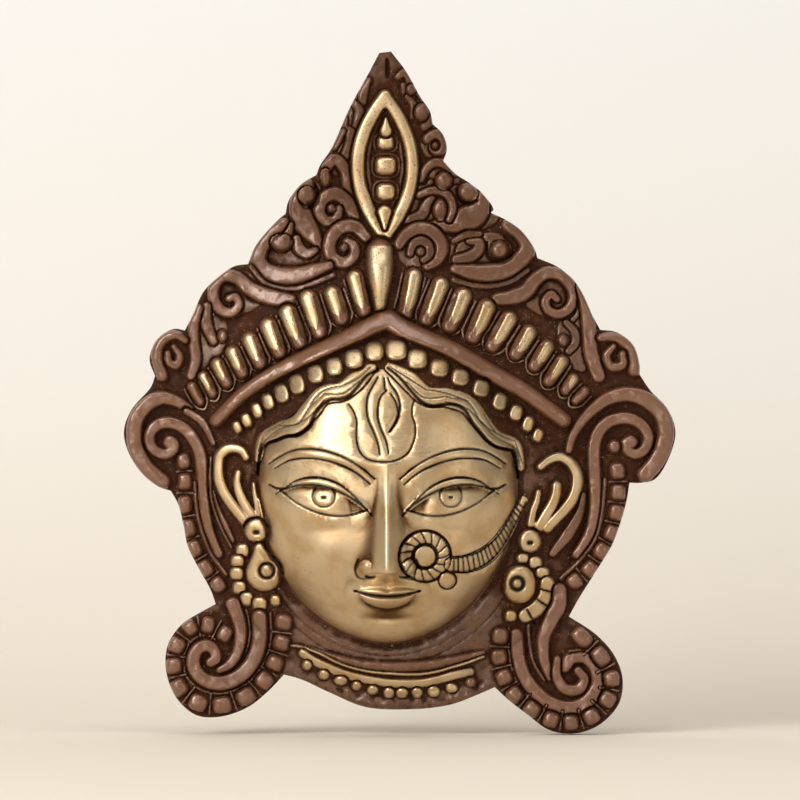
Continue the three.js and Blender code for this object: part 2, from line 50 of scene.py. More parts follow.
LOBES = [  # clockwise from the tip of the crown; each lobe is one smooth curve, and two meet in a notch
    [(-1, 73.3), (4.3, 66.3), (8.7, 58.3), (12, 53.3), (13, 49)],
    [(13, 49), (16.3, 45.7), (17.7, 41), (16.5, 36.7)],
    [(16.5, 36.7), (20.7, 32.3), (25.3, 29.3), (29.7, 25.7), (33.3, 20.3), (32, 19.5)],
    [(32, 19.5), (38, 16.7), (42.7, 13.3), (47, 7.3), (48, 4.2)],
    [(48, 4.2), (54.5, 1.4), (59.7, -2.7), (63.3, -8), (66.5, -15.2), (69, -19.8)],
    [(69, -19.8), (74.5, -20.6), (80, -24.8), (82.1, -31.2), (82.2, -34.8)],
    [(82.2, -34.8), (85.7, -40), (91.5, -46.2), (94.2, -54), (91.9, -62.8), (87.3, -69.8), (82.7, -71),
     (78.8, -71)],
    [(78.8, -71), (77.7, -77.5), (75.3, -85.8), (72.7, -92.3), (66.7, -102), (61.7, -110), (58.5, -115.8)],
    [(58.5, -115.8), (63.5, -118.9), (68.2, -122.3), (73.7, -128.7), (76.5, -136.7), (75.2, -145),
     (68.7, -152), (60.3, -154.9), (51.9, -153.7), (44.3, -148.3), (37.9, -143.3), (33.7, -139.4)],
    [(33.7, -139.4), (27.7, -142), (18.7, -145.3), (5.3, -146.8), (-9.7, -146), (-21.3, -141.3),
     (-31.3, -136.7), (-36.8, -135.2)],
    [(-36.8, -135.2), (-42.7, -141.3), (-49.3, -146.3), (-58.3, -149.3), (-66.3, -148.7), (-73, -142.7),
     (-76.3, -133.7), (-75.7, -125.3), (-71, -118.3), (-66.3, -115.3), (-59.7, -111.6)],
    [(-59.7, -111.6), (-61.3, -107), (-65.7, -99), (-69, -92.3), (-70.5, -85), (-72.3, -78),
     (-74.7, -73.7)],
    [(-74.7, -73.7), (-78.8, -72.3), (-84.5, -67.7), (-89, -60.5), (-90.4, -53.7), (-87.9, -46.6),
     (-81.4, -39), (-80, -35.3)],
    [(-80, -35.3), (-81.8, -29.5), (-79.3, -23), (-73.7, -19.5), (-70, -20)],
    [(-70, -20), (-67.3, -14.7), (-63.7, -7), (-58.3, -1.7), (-53.3, 1.5), (-48.8, 2.2)],
    [(-48.8, 2.2), (-46.7, 7.7), (-43.3, 12.3), (-38, 17.7), (-36.3, 19)],
    [(-36.3, 19), (-35.3, 23.3), (-31.3, 28.7), (-26, 32)],
    [(-26, 32), (-24.7, 35.3), (-21.3, 40.3), (-14.7, 54.7), (-8, 67), (-4.7, 73.3)],
]


def smooth(points):
    """Points about LINE_STEP apart along a round curve through the given ones."""
    p = np.array(points, float)
    p = np.vstack([2 * p[0] - p[1], p, 2 * p[-1] - p[-2]])
    made = []
    for a, b, c, d in zip(p, p[1:], p[2:], p[3:]):
        t1, t2, t3 = (max(1e-6, math.dist(*pair)) ** 0.5 for pair in ((a, b), (b, c), (c, d)))
        leave = ((b - a) / t1 - (c - a) / (t1 + t2) + (c - b) / t2) * t2
        arrive = ((c - b) / t2 - (d - b) / (t2 + t3) + (d - c) / t3) * t2
        count = max(1, round(math.dist(b, c) / LINE_STEP))
        t = np.arange(count)[:, None] / count
        made.append(b * (2 * t**3 - 3 * t**2 + 1) + leave * (t**3 - 2 * t**2 + t)
                    + c * (3 * t**2 - 2 * t**3) + arrive * (t**3 - t**2))
    return np.vstack([*made, p[-2]])


outline = np.vstack([smooth(lobe)[:-1] for lobe in LOBES])
corner = outline.min(0) - 1
columns, rows = (int(n) for n in np.ceil((outline.max(0) + 1 - corner) / CELL) + 1)
across = corner[0] + CELL * np.arange(columns)
upward = corner[1] + CELL * np.arange(rows)
X, Z = np.meshgrid(across, upward)

relief = np.zeros_like(X)  # how far each form stands over the blank
shine = np.zeros_like(X)  # 1 where the brass is polished bright, 0 where it keeps its brown patina
ink = np.zeros_like(X)  # 1 in a graver's cut, which holds black


def near(points, room):
    """The sheet's patch round a line, and there: distance from the line, and share of the way along it."""
    low, high = points.min(0) - room, points.max(0) + room
    first = np.clip(np.floor((low - corner) / CELL).astype(int), 0, None)
    last = np.ceil((high - corner) / CELL).astype(int) + 1
    patch = (slice(first[1], last[1]), slice(first[0], last[0]))
    here = np.stack([X[patch], Z[patch]], -1)[:, :, None]
    start, run = points[:-1], np.diff(points, axis=0)
    share = ((here - start) * run).sum(-1) / np.maximum((run**2).sum(-1), 1e-9)
    share = share.clip(0, 1)
    gap = here - start - share[..., None] * run
    far = np.hypot(gap[..., 0], gap[..., 1])
    best = far.argmin(-1)[..., None]
    distance, part = (np.take_along_axis(v, best, -1)[..., 0] for v in (far, share))
    return patch, distance, (best[..., 0] + part) / len(run)


inland = np.full(X.shape, 9.0)  # how far each point lies from the outline
for lobe in LOBES:
    patch, distance, _ = near(smooth(lobe), 4)
    inland[patch] = np.minimum(inland[patch], distance)
far = ((X - SWELL["x"]) / SWELL["rx"]) ** 2 + ((Z - SWELL["z"]) / SWELL["rz"]) ** 2
blank = RIM_DEPTH + SWELL["rise"] * (1 - far).clip(0) ** 0.7


# Face
# A temple face, set out on a middle line: a full oval dome with long eyes under high brows, a straight
# nose, a small mouth and a round chin. It is cast with the rest, then filed smooth and polished bright.
FACE = {"x": -2.2, "z": -74, "half": 43.6, "up": 56, "down": 51, "edge": 11, "rise": 27}
EYE = {"x": 21, "z": -76.5, "half": 14.5, "tall": 4.6, "tilt": 0.22, "iris": 3.7}
NOSE_TOP, NOSE_TIP = -66, -100
MOUTH = {"z": -108.3, "half": 10, "lift": 1.5}  # a third of the way from the nose to the chin


def ease(low, high, value):
    """0 below low, 1 above high, and a soft step between them."""
    t = np.clip((value - low) / (high - low), 0, 1)
    return t * t * (3 - 2 * t)


u, v = X - FACE["x"], Z - FACE["z"]
place = np.where(
    v > 0,
    (np.abs(u / FACE["half"]) ** 2.3 + np.abs(v / FACE["up"]) ** 2.3) ** (1 / 2.3),
    (np.abs(u / FACE["half"]) ** 1.92 + np.abs(v / FACE["down"]) ** 1.92) ** (1 / 1.92),
)
dome = FACE["edge"] + FACE["rise"] * (1 - place**2.3).clip(0) ** 0.55
on_face = place < 1
blank = np.where(on_face, np.maximum(blank, dome), blank)
shine[on_face] = (1 - ease(0.965, 0.99, place))[on_face]
beside_face = ease(0.965, 0.99, place) * ease(1.06, 1.02, place)
relief -= 0.7 * beside_face


def swell(x, z, wide, tall, rise, lean=0.0):
    """A soft hill or hollow, the same on both sides of the face."""
    for side in ((-1, 1) if x else (1,)):
        dx, dz = u * side - x, Z - z
        dx, dz = dx * math.cos(lean) + dz * math.sin(lean), dz * math.cos(lean) - dx * math.sin(lean)
        relief[on_face] += (rise * np.exp(-((dx / wide) ** 2) - (dz / tall) ** 2))[on_face]


swell(21, -69.6, 12, 4.6, -2.4, 0.12)  # hollows between the brows and the eyes
swell(8.6, -76, 4.2, 6.5, -3.0)  # inner corners, beside the bridge
swell(21, -76.8, 12.5, 6.0, 2.2)  # eyeballs
swell(20, -86.0, 11, 3.0, -0.5, -0.08)  # below the eyes
swell(23, -95, 12, 10, 2.2)  # cheeks
swell(13.5, -100, 3.4, 6.5, -0.5, -0.35)  # fold from the nose to the mouth
swell(0, -56, 16, 10, 0.8)  # forehead
swell(19, -62.5, 15, 2.6, 1.0, 0.14)  # brow bones
swell(0, -120.5, 10, 6.0, 2.6)  # chin
swell(0, -115.2, 8.0, 2.0, -1.3)  # hollow under the lower lip
swell(11.6, -107, 2.2, 3.0, -1.3)  # corners of the mouth
swell(0, -103.4, 1.3, 2.0, -0.6)  # groove under the nose

share = ((NOSE_TOP - Z) / (NOSE_TOP - NOSE_TIP)).clip(0, 1)
nose_half = 2.6 + 3.4 * share**1.8
nose_rise = 1.2 + 11.0 * share**1.5
ridge = np.exp(-(np.abs(u) / nose_half) ** 1.7) * nose_rise
tip_round = np.exp(-(((Z - NOSE_TIP).clip(None, 0)) / 2.3) ** 2)
relief[on_face] += (ridge * tip_round * ease(NOSE_TOP + 9, NOSE_TOP - 4, Z))[on_face]
for side in (-1, 1):  # wings of the nose
    wing = 1 - ((u * side - 6.4) / 3.4) ** 2 - ((Z - NOSE_TIP - 1.4) / 3.2) ** 2
    relief = np.where(on_face, np.maximum(relief, 5.4 * wing.clip(0) ** 0.55), relief)

parting = MOUTH["z"] + MOUTH["lift"] * (u / MOUTH["half"]) ** 2
fullness = (1 - (u / MOUTH["half"]) ** 2).clip(0)
bow = 1 - 0.3 * np.exp(-(u / 1.5) ** 2)
for way, tall, rise in ((1, 3.0 * bow, 2.6), (-1, 4.3, 3.4)):  # upper and lower lip
    climb = ((Z - parting) * way / (tall * fullness**0.6 + 1e-3)).clip(0, 1)
    lip = np.sin(np.pi * climb**0.75).clip(0) ** 0.7 * fullness**0.4
    relief = np.where(on_face, np.maximum(relief, relief * 0.4 + rise * lip), relief)


def along_line(values, share):
    """Values spread evenly along a line, at the given shares of the way along it."""
    values = np.atleast_1d(np.array(values, float))
    return np.interp(share, np.linspace(0, 1, len(values)), values)


FILED = 0.25  # sizes are given at a form's flat top, and its filed sides slope this much further out
RUB = 0.83, 1.08  # the polish fades between these shares of a form's half width


def band(points, wide, rise, flat=6.5, gold=0.0):
    """A raised band along a curve. Its width, rise and gold may be one value, or several spread along it."""
    patch, distance, share = near(smooth(points), np.max(wide) / 2 + 2)
    half = along_line(wide, share) / 2 + FILED
    edge = distance / half
    height = along_line(rise, share) * (1 - edge.clip(0, 1) ** flat) ** 0.5
    return patch, edge, distance - half, height, along_line(gold, share) * (1 - ease(*RUB, edge))


def cast(*forms, moat=0.8, over=False):
    """Set raised forms on the sheet as one, with a groove of width moat cut round them in what lies below.

    With over, they only add to what is there, as a boss on a broad leaf does."""
    low = [min(form[0][k].start for form in forms) for k in (0, 1)]
    high = [max(form[0][k].stop for form in forms) for k in (0, 1)]
    patch = tuple(slice(*ends) for ends in zip(low, high))
    now = relief[patch]
    top, gap, gold = np.full(now.shape, -9.0), np.full(now.shape, 9.0), np.zeros(now.shape)
    for spot, edge, space, height, glow in forms:
        own = tuple(slice(part.start - start, part.start - start + size)
                    for part, start, size in zip(spot, low, edge.shape))
        higher = (edge < 1) & (height > top[own])
        top[own] = np.where(higher, height, top[own])
        gold[own] = np.where(higher, glow, gold[own])
        gap[own] = np.minimum(gap[own], space)
    body = top > -9
    groove = 1 - ease(0, moat, gap)
    kept = np.maximum(now, top) if over else top
    relief[patch] = np.where(body, kept, now + groove * (np.minimum(now, -0.4) - now))
    shine[patch] = np.where(body & (top >= kept), gold, shine[patch] * np.where(body, 1, 1 - groove))
    ink[patch] = np.where(body, 0, ink[patch])


def graver(points, wide, deep=0.5, taper=0.45, dark=1.0):
    """A line cut with a graver and blacked: widest in the middle, thinner towards its ends."""
    patch, distance, share = near(smooth(points), wide + 0.4)
    half = wide / 2 * (taper + (1 - taper) * np.sin(np.pi * share.clip(0.02, 0.98)) ** 0.5)
    cut = (1 - (distance / (half + 0.18)) ** 2).clip(0)
    relief[patch] -= deep * cut**0.7
    ink[patch] = np.maximum(ink[patch], dark * ease(0, 0.75, cut))


def mirrored(points):
    """The same line on each side of the face, given from its middle line."""
    return [[(FACE["x"] + side * x, z) for x, z in points] for side in (-1, 1)]


def arc(middle, radius, turn):
    """Points on a circle round the middle, at each angle of turn."""
    return [(middle[0] + radius * math.cos(a), middle[1] + radius * math.sin(a)) for a in turn]


def lid(bulge, reach=1.0):
    """A line over or under the eye, from its inner to its outer corner."""
    shares = (-reach, -0.6, -0.2, 0.2, 0.6, reach)
    return [(EYE["x"] + EYE["half"] * s, EYE["z"] + EYE["half"] * EYE["tilt"] * s + bulge * (1 - s * s))
            for s in shares]


for side in (-1, 1):  # the eyeball lies a little below its lids
    s = (u * side - EYE["x"]) / EYE["half"]
    middle = EYE["z"] + EYE["half"] * EYE["tilt"] * s
    tall = (EYE["tall"] * (1 - s * s)).clip(1e-3)
    open_eye = (np.abs(s) < 1) & (np.abs(Z - middle) < tall)
    relief -= np.where(open_eye, 0.7 * (1 - (np.abs(Z - middle) / tall) ** 4), 0)
for line in mirrored(lid(EYE["tall"] + 0.9, 1.04)):
    cast(band(line, [0.8, 2.2, 2.4, 2.0, 0.8], 0.9, flat=2, gold=1), moat=0.01, over=True)
flick = EYE["z"] + EYE["half"] * EYE["tilt"]  # both lid lines run on past the outer corner
for points, wide, deep, taper in (
    (lid(EYE["tall"]), 0.95, 0.6, 0.7),
    (lid(-EYE["tall"]), 0.8, 0.5, 0.6),
    (lid(EYE["tall"] + 2.6, 1.1), 0.8, 0.45, 0.45),  # the crease over the eye
    ([(EYE["x"] + 12, flick + 0.9), (EYE["x"] + 15.4, flick + 0.6), (EYE["x"] + 18.4, flick + 2.0)],
     0.9, 0.5, 0.3),
    ([(4.2, -69.4), (9, -65.4), (16, -61.6), (24, -59.6), (31, -60), (36.5, -62.6), (39.4, -64.6)],
     0.95, 0.5, 0.3),  # the brow's upper edge, and its lower one
    ([(5.6, -71.2), (10, -67.6), (17, -64.2), (25, -62.6), (32, -63.2), (37.4, -66)], 0.85, 0.45, 0.3),
):
    for line in mirrored(points):
        graver(line, wide, deep, taper)
turn = np.radians(np.arange(-222, 43, 24))
for side in (-1, 1):  # the iris is half under the upper lid
    eye = (FACE["x"] + side * EYE["x"], EYE["z"] + 1.5)
    graver(arc(eye, EYE["iris"], turn), 0.6, 0.35, 1, 0.9)
    graver([(eye[0] - 0.35, eye[1] - 0.5), (eye[0] + 0.35, eye[1] - 0.5)], 1.1, 0.5, 1)
graver([(FACE["x"] + x, MOUTH["z"] + MOUTH["lift"] * (x / MOUTH["half"]) ** 2)
        for x in (-10.8, -6, -2, 2, 6, 10.8)], 1.0, 0.9, 0.5)
for line in mirrored([(9.6, -96), (10.6, -99), (9.8, -101.8), (7.4, -102.6), (5.4, -101.8)]):
    graver(line, 0.7, 0.5, 0.5, 0.8)
for line in mirrored([(4.2, -101.6), (5.6, -102), (7, -101.6)]):
    graver(line, 1.2, 1.0, 0.8)


# Forehead mark
# Three curved strokes and an open drop between the brows, cut with a graver after polishing and blacked.
graver([(-15, -44.7), (-13.3, -47.3), (-12.3, -50.7), (-12.5, -54), (-12.3, -57), (-11.3, -60.3),
        (-9, -62.7), (-5.3, -63.7), (-1.3, -63.7), (2, -62.7), (4.7, -60.7), (6, -58.3), (7, -55),
        (7, -51.7), (6, -48.3), (6, -45.7), (7, -42.7)], 0.75)
for stroke in (
    [(-5.3, -35.7), (-7, -38.7), (-8.7, -42.3), (-9, -46.7), (-8.3, -50.3), (-6.7, -54), (-5.3, -58),
     (-4.7, -61.3)],
    [(-2.3, -40), (-4.3, -42), (-5.3, -45.7), (-5.3, -49.3), (-4.3, -53), (-2.7, -56.7), (-1.7, -61)],
    [(-3.3, -36), (-3, -40)],
    [(-1, -41.3), (0.7, -44.3), (1.3, -47.7), (0.7, -50.3), (-1.3, -53.7)],
    [(-2, -36), (-1, -38.3), (1, -41.3), (2, -45), (1.7, -48.3), (0.3, -51.3), (-1.7, -54)],
):
    graver(stroke, 0.85)


# Hair
# Two wavy locks that fall from the parting to the temples, polished bright on top, with cut strands and a
# deep dark line where they meet the forehead.
LOCKS = (
    ([(-5.3, -33.3), (-9, -35.3), (-12, -39), (-15, -42), (-18, -43), (-21.3, -43.3), (-24, -45.3),
      (-26.7, -49), (-27.7, -51.7), (-29.3, -53.3), (-32, -55), (-35.7, -55.3), (-39, -56.7), (-42, -57.7),
      (-44, -60), (-45, -64), (-45.3, -68.3)],
     [(-9.3, -31.7), (-12.7, -35.3), (-15.7, -37.7), (-19.7, -38.7), (-23, -39), (-25.7, -41), (-28, -43.3),
      (-30.3, -46), (-33, -48.3), (-37.3, -50.3), (-41.3, -51.3), (-44, -54), (-45.3, -58.3)]),
    ([(-2, -32.7), (2, -36), (6, -40.7), (9.3, -44), (12.7, -45.3), (15.3, -45), (18.7, -44.7),
      (21.3, -45.3), (24, -47.3), (26, -50.7), (28.7, -54), (31, -56.7), (33.7, -58.7), (37, -59.7),
      (39.7, -60.4), (40.9, -64), (41.2, -69)],
     [(-0.7, -32), (3.7, -33.7), (8, -37.7), (12, -40), (15.3, -41.3), (18.7, -40.3), (22, -41),
      (25.3, -43), (28, -46), (30.7, -49.3), (33.3, -52.7), (37, -55), (40.3, -56), (42.7, -58.6),
      (43.2, -63)]),
)
hairline = np.array([*LOCKS[0][0][::-1], *LOCKS[1][0]])
over_hair = on_face & (Z > np.interp(X, hairline[:, 0], hairline[:, 1]))
shine[over_hair] = 0
relief[over_hair] = -0.6


def blurred(values, reach):
    """The sheet's values, averaged over a square of the given reach three times over."""
    n = max(1, round(reach / CELL))
    for axis in (0, 1) * 3:
        ends = [(n + 1, n) if side == axis else (0, 0) for side in (0, 1)]
        total = np.moveaxis(np.cumsum(np.pad(values, ends, mode="edge"), axis), axis, 0)
        values = np.moveaxis((total[2 * n + 1:] - total[:-2 * n - 1]) / (2 * n + 1), 0, axis)
    return values


above = ease(0, 4, Z - np.interp(X, hairline[:, 0], hairline[:, 1]))
blank += above * (blurred(blank, 3.6) - blank)  # the head runs softly into the crown under the headband
for lower, upper in LOCKS:
    low, high = smooth(lower), smooth(upper)
    steps = np.linspace(0, 1, 9)
    on_low = [low[int(s * (len(low) - 1))] for s in steps]
    on_high = [high[int(s * (len(high) - 1))] for s in steps]
    middle = [a * 0.46 + b * 0.54 for a, b in zip(on_low, on_high)]
    cast(band(middle, [3.0, 5.8, 5.8, 5.8, 5.8, 5.4, 4.6, 3.6, 2.0], 1.2, flat=5, gold=1), moat=0.9,
         over=True)
    graver(lower, 1.3, 1.0, 0.6)
    for first, last, share, drift in (  # short strokes that drift across the lock
        (0, 3, 0.7, 0.2), (1, 4, 0.4, 0.3), (2, 5, 0.85, -0.25), (3, 6, 0.3, 0.2),
        (3, 7, 0.62, 0.15), (5, 8, 0.9, -0.3), (5, 9, 0.45, -0.1), (7, 9, 0.7, 0.0),
    ):
        strand = zip(on_low[first:last], on_high[first:last], np.linspace(0, 1, last - first))
        graver([a + (b - a) * (share + drift * (t - 0.5) + 0.12 * math.sin(7 * t)) for a, b, t in strand],
               0.5, 0.4, 0.15, 0.9)


# Crown peak
# Low broad leaves cover the whole crown as its ground. Small curled leaves edge both sides of the peak,
# which ends in a plain cap with one groove down its middle.


def boss(middle, size, rise, flat=2.4, gold=0.0, square=2.0, lean=0.0):
    """A round-topped boss, size wide by high, its corners squarer as square rises above 2."""
    middle, half = np.array(middle, float), np.array(size, float) / 2 + FILED
    patch, _, _ = near(np.array([middle, middle + 1e-3]), half.max() + 2)
    dx, dz = X[patch] - middle[0], Z[patch] - middle[1]
    dx, dz = dx * math.cos(lean) + dz * math.sin(lean), dz * math.cos(lean) - dx * math.sin(lean)
    edge = (np.abs(dx / half[0]) ** square + np.abs(dz / half[1]) ** square) ** (1 / square)
    height = rise * (1 - edge.clip(0, 1) ** flat) ** 0.55
    return patch, edge, (edge - 1) * half.min(), height, gold * (1 - ease(*RUB, edge))


for x, z, wide, tall, lean in (  # the broad leaf under each group of scrolls
    (13.5, 42, 9, 10, 0), (12.4, 52, 8, 14, 0.5), (15, 31, 15, 11, -0.5), (25, 21, 21, 14, -0.3),
    (9.6, 21.5, 11, 13, 0.2), (9, 7, 16, 15, 0), (24, 6, 12, 16, 0), (33, 4, 25, 17, -0.2),
    (52, -8.5, 20, 14, -0.3), (61, -23, 12, 22, 0.2), (-14.6, 49, 8, 15, -0.5), (-18.4, 38, 9, 13, -0.2),
    (-19.6, 21, 15, 13, 0), (-29.6, 20.5, 13, 20, -0.2), (-16.5, 8.4, 15, 14, 0), (-35, 6.5, 22, 18, 0.3),
    (-52, -7.6, 21, 14, 0.3), (-62, -23, 12, 22, -0.2),
):
    cast(boss((x, z), (wide, tall), 1.1, flat=6, lean=lean), moat=0.7, over=True)
graver([(-2.3, 70.6), (-2.1, 64.6)], 1.5, 0.9, 0.4, 0.6)
for points, wide in (
    ([(-8.6, 63.2), (-10.8, 59.6), (-12.8, 56)], [2, 3.2, 2.4]),
    ([(-8.6, 63.6), (-10.2, 60.2), (-10.6, 56.4)], [1.6, 3.0, 2.4]),
    ([(-13.8, 56.4), (-11.6, 53.4), (-12.6, 47.4)], [1.8, 3.2, 2.6]),
    ([(-16.4, 50.6), (-16.8, 47.6), (-14.4, 45.6), (-14.7, 41.8), (-16.8, 37.6)],
     [1.6, 3.0, 3.6, 3.4, 2.6]),
    ([(-20, 41.2), (-18.4, 44.4), (-16.9, 46.6)], [2.0, 2.6, 1.4]),
    ([(1.2, 64.6), (3.2, 66), (5.2, 64.4), (5, 62.2)], [1.6, 2.4, 1.8]),
    ([(3.4, 59.4), (3, 62)], [1.6, 1.2]), ([(9.8, 57.4), (8, 60.6)], [1.8, 2.2]),
    ([(6.2, 51.4), (6.6, 55), (4.4, 58)], [1.6, 2.2, 1.4]),
    ([(12.2, 53.4), (12.4, 50.2), (10.2, 48)], [1.6, 2.2, 2.6]),
):
    cast(band(points, wide, 1.7), moat=0.6)
cast(boss((5.7, 60.5), (3, 3.4), 1.7, flat=4), moat=0.6)
cast(boss((9.2, 52.8), (4.8, 6), 2.0, flat=4), moat=0.6)
turn = np.radians(np.arange(150, -230, -30))
cast(band([(14.3 + (3.5 - 0.2 * i) * math.cos(a), 42 + (3.9 - 0.2 * i) * math.sin(a))
           for i, a in enumerate(turn)], [3.0, 2.8, 2.0], 2.4))
cast(boss((13.8, 41.8), (2.2, 2.4), 1.8))


# Crown scrolls
# Broad flat-topped leaves and volutes that curl round small bosses, three tiers on each side of the almond.
# They keep the dark brown patina of the casting, rubbed lighter on their tops, with a painted highlight
# there.
LEFT_SCROLLS = (
    ([(-22.6, 34.4), (-19.8, 37.2), (-16.3, 33.4), (-15.4, 27.6), (-14, 23.4)], [3.2, 3.6, 3.4, 2.8], 2.8),
    ([(-24.8, 8.5), (-27.6, 12.5), (-30.4, 17), (-31.9, 21.5), (-31.2, 26), (-28.4, 28.6)],
     [2.5, 6.0, 8.0, 6.6, 4.8, 3.2], 3.2),
    ([(-13.3, 17.7), (-15.5, 22.6), (-19.6, 25.6), (-23.8, 23.6), (-24.9, 19.4), (-22.6, 16.4),
      (-19.3, 17.2), (-18.4, 20.4)], [3.4, 4.4, 4.4, 3.8, 3.2, 2.6], 2.8),
    ([(-9.4, 11), (-13.3, 14.7), (-18.2, 14), (-21.5, 9.4), (-20.8, 4.6), (-16.8, 2.5), (-13.5, 4.6),
      (-13.2, 7.8), (-15.6, 9.4)], [3.4, 4.4, 4.4, 4.0, 3.4, 2.8], 3.0),
    ([(-36.6, 15.8), (-41.2, 12), (-44.4, 7.4), (-45.3, 3.4), (-43, -0.2), (-38, -1.8), (-32.5, -1.8),
      (-26.5, 0), (-21.5, 1.6)], [3.4, 4.4, 4.8, 5.2, 6.0, 6.0, 5.4, 4.4, 2.6], 3.4),
    ([(-36.8, 9.4), (-35.2, 12.6), (-34.3, 15.4)], [4.6, 2.8, 1.2], 2.8),
    ([(-32.6, 10.4), (-31.6, 7.2), (-29, 5.6), (-26.2, 6.8)], [2.8, 3.8, 3.4, 1.8], 2.4),
    ([(-47.6, 1.0), (-43.4, -3.9), (-37.8, -6.0), (-31.5, -5.8), (-25.2, -3.6), (-20.4, -1.6)], 1.4, 1.8),
    ([(-34.6, -9.9), (-41, -9), (-47.8, -6.4), (-52.4, -2.6), (-57, -1.8), (-59.9, -4.8), (-60.2, -9.5),
      (-57.6, -13.4), (-54.1, -14), (-51.9, -11.6), (-53, -8.9), (-55.2, -9.4)],
     [3.8, 5.2, 5.2, 4.4, 4.0, 3.8, 3.6, 3.2, 2.6, 2.2], 3.2),
    ([(-62.4, -12), (-62.7, -17.6), (-60.4, -23.6)], [2.4, 3.8, 2.6], 2.2),
    ([(-65.2, -12.8), (-66.9, -18), (-66.9, -24), (-66.3, -30), (-67.8, -35.2)], [2.4, 3.4, 3.4, 3.4, 2.8],
     2.4),
)
RIGHT_SCROLLS = (
    ([(9.2, 30.4), (10.8, 34), (13.6, 36), (17.2, 35.4), (20.4, 32.6)], [1.8, 2.6, 2.8, 2.2], 2.4),
    ([(8.2, 27.4), (11, 27.4), (12.2, 29.6)], [1.6, 2.0, 1.4], 1.8),
    ([(12.4, 14.6), (18, 15.4), (23.2, 16.8), (27.4, 19.2), (29.2, 23.4)], [3.0, 5.4, 8.2, 8.6, 5.6], 3.2),
    ([(2.4, 17), (6.4, 17.2), (9.6, 19), (10.8, 22), (12.6, 24)], [2.0, 3.2, 3.4, 2.2], 2.4),
    ([(8.4, 25.2), (12, 26.6), (15.8, 26.4), (18.8, 23.8), (19.6, 20.4), (18.4, 17)], [2.0, 2.6, 2.8, 2.2],
     2.6),
    ([(1.6, 8.6), (4.4, 12.2), (8.6, 14.1), (12.8, 13), (15.4, 10), (16, 6.7), (14.4, 3.4), (11.2, 1.5)],
     [3.2, 4.2, 4.2, 4.0, 3.0], 3.0),
    ([(5.3, 5.6), (6.5, 8.8), (9, 9.9), (11.5, 8.4), (11.9, 5.3), (10, 3.4)], [2.0, 2.8, 2.8, 2.0], 2.2),
    ([(20.8, 3.6), (25, 4.4), (28.2, 6.8), (28.2, 9.4), (25.2, 10)], [2.8, 3.8, 3.6, 2.2], 2.4),
    ([(20, 9.8), (24, 12), (28.7, 12.2)], [1.4, 2.4, 1.4], 1.8),
    ([(20, 0.4), (26, -0.6), (32, -0.9), (38.2, 0.6), (42.8, 4), (44.7, 8), (42.6, 12), (38, 15)],
     [2.4, 5.0, 5.9, 5.9, 5.6, 5.4, 5.0, 4.0], 3.4),
    ([(20, -3.2), (26, -4.9), (33, -5.2), (39, -3.7), (44.6, 0)], 1.4, 1.6),
    ([(34.6, -9.6), (39.6, -9), (44.2, -7), (47.2, -3.2), (50.8, -0.9), (55.2, -1.4), (58.6, -4.6),
      (60, -8.6), (58.4, -12.8), (54.8, -14.6), (51.5, -13.2), (50.6, -10.2), (52.6, -8.0), (54.4, -9.6)],
     [3.8, 5.2, 4.8, 4.2, 3.8, 3.4, 3.0, 2.8, 2.6, 2.0], 3.2),
    ([(62.2, -9), (61.6, -14), (58.4, -18)], 1.2, 1.4),
    ([(62.2, -5.4), (64, -12), (65.2, -20), (66, -28), (68.4, -35.3)], [2.6, 3.6, 4.6, 4.8, 4.2], 2.6),
    ([(57.6, -17.4), (60.4, -20.6), (60.6, -24.4), (58.4, -27)], [1.8, 2.6, 2.0], 1.8),
)
for points, wide, rise in (*LEFT_SCROLLS, *RIGHT_SCROLLS):
    cast(band(points, wide, rise), moat=0.65)
for middle, size, rise in (
    ((-22.9, 30.9), (3.4, 6), 2.6), ((-29.1, 25.1), (5.6, 5.6), 3.6), ((-37.6, 9.2), (7.2, 5.8), 3.2),
    ((-21, 20.8), (2.6, 3), 2.4), ((-16.8, 7.4), (2.6, 2.6), 2.4),
    ((-57.4, -22), (3, 4), 2.0), ((16.7, 30), (5.6, 5.8), 3.0), ((24.6, 26), (6.6, 6.4), 3.8),
    ((15.4, 20.4), (4.6, 7.4), 2.8), ((8.9, 6.2), (2.8, 2.8), 2.4), ((35.4, 6.9), (5.8, 5.8), 3.0),
    ((56.6, -23.4), (3.4, 3.8), 2.2),
):
    cast(boss(middle, size, rise, flat=3.4), moat=0.5, over=True)
for points in (
    [(-31.6, 23), (-29.3, 20.9), (-26.3, 22.4), (-25.4, 26), (-26.7, 28.9)],
    [(21, 26.9), (22.3, 23.6), (24.9, 22.3), (27.8, 23.2)],
    [(31, 9.4), (31.4, 4.8), (34.4, 2.8), (38.4, 3.8), (39.9, 7.8), (37, 11.4)],
):
    graver(points, 1.4, 1.0, 0.4, 0.6)


# Almond
# A tall almond in the middle of the crown, laid over the leaves: a broad polished rib round a sunk field
# with five raised drops, each in its own cell.
ALMOND = {"x": -3, "z": 34.8, "half": 9.2, "tall": 23.2}


def vesica(x, z, half, tall, side):
    """One side of an almond shape, from its lower to its upper point."""
    return [(x + side * half * (1 - s * s), z + tall * s) for s in np.linspace(-1, 1, 9)]


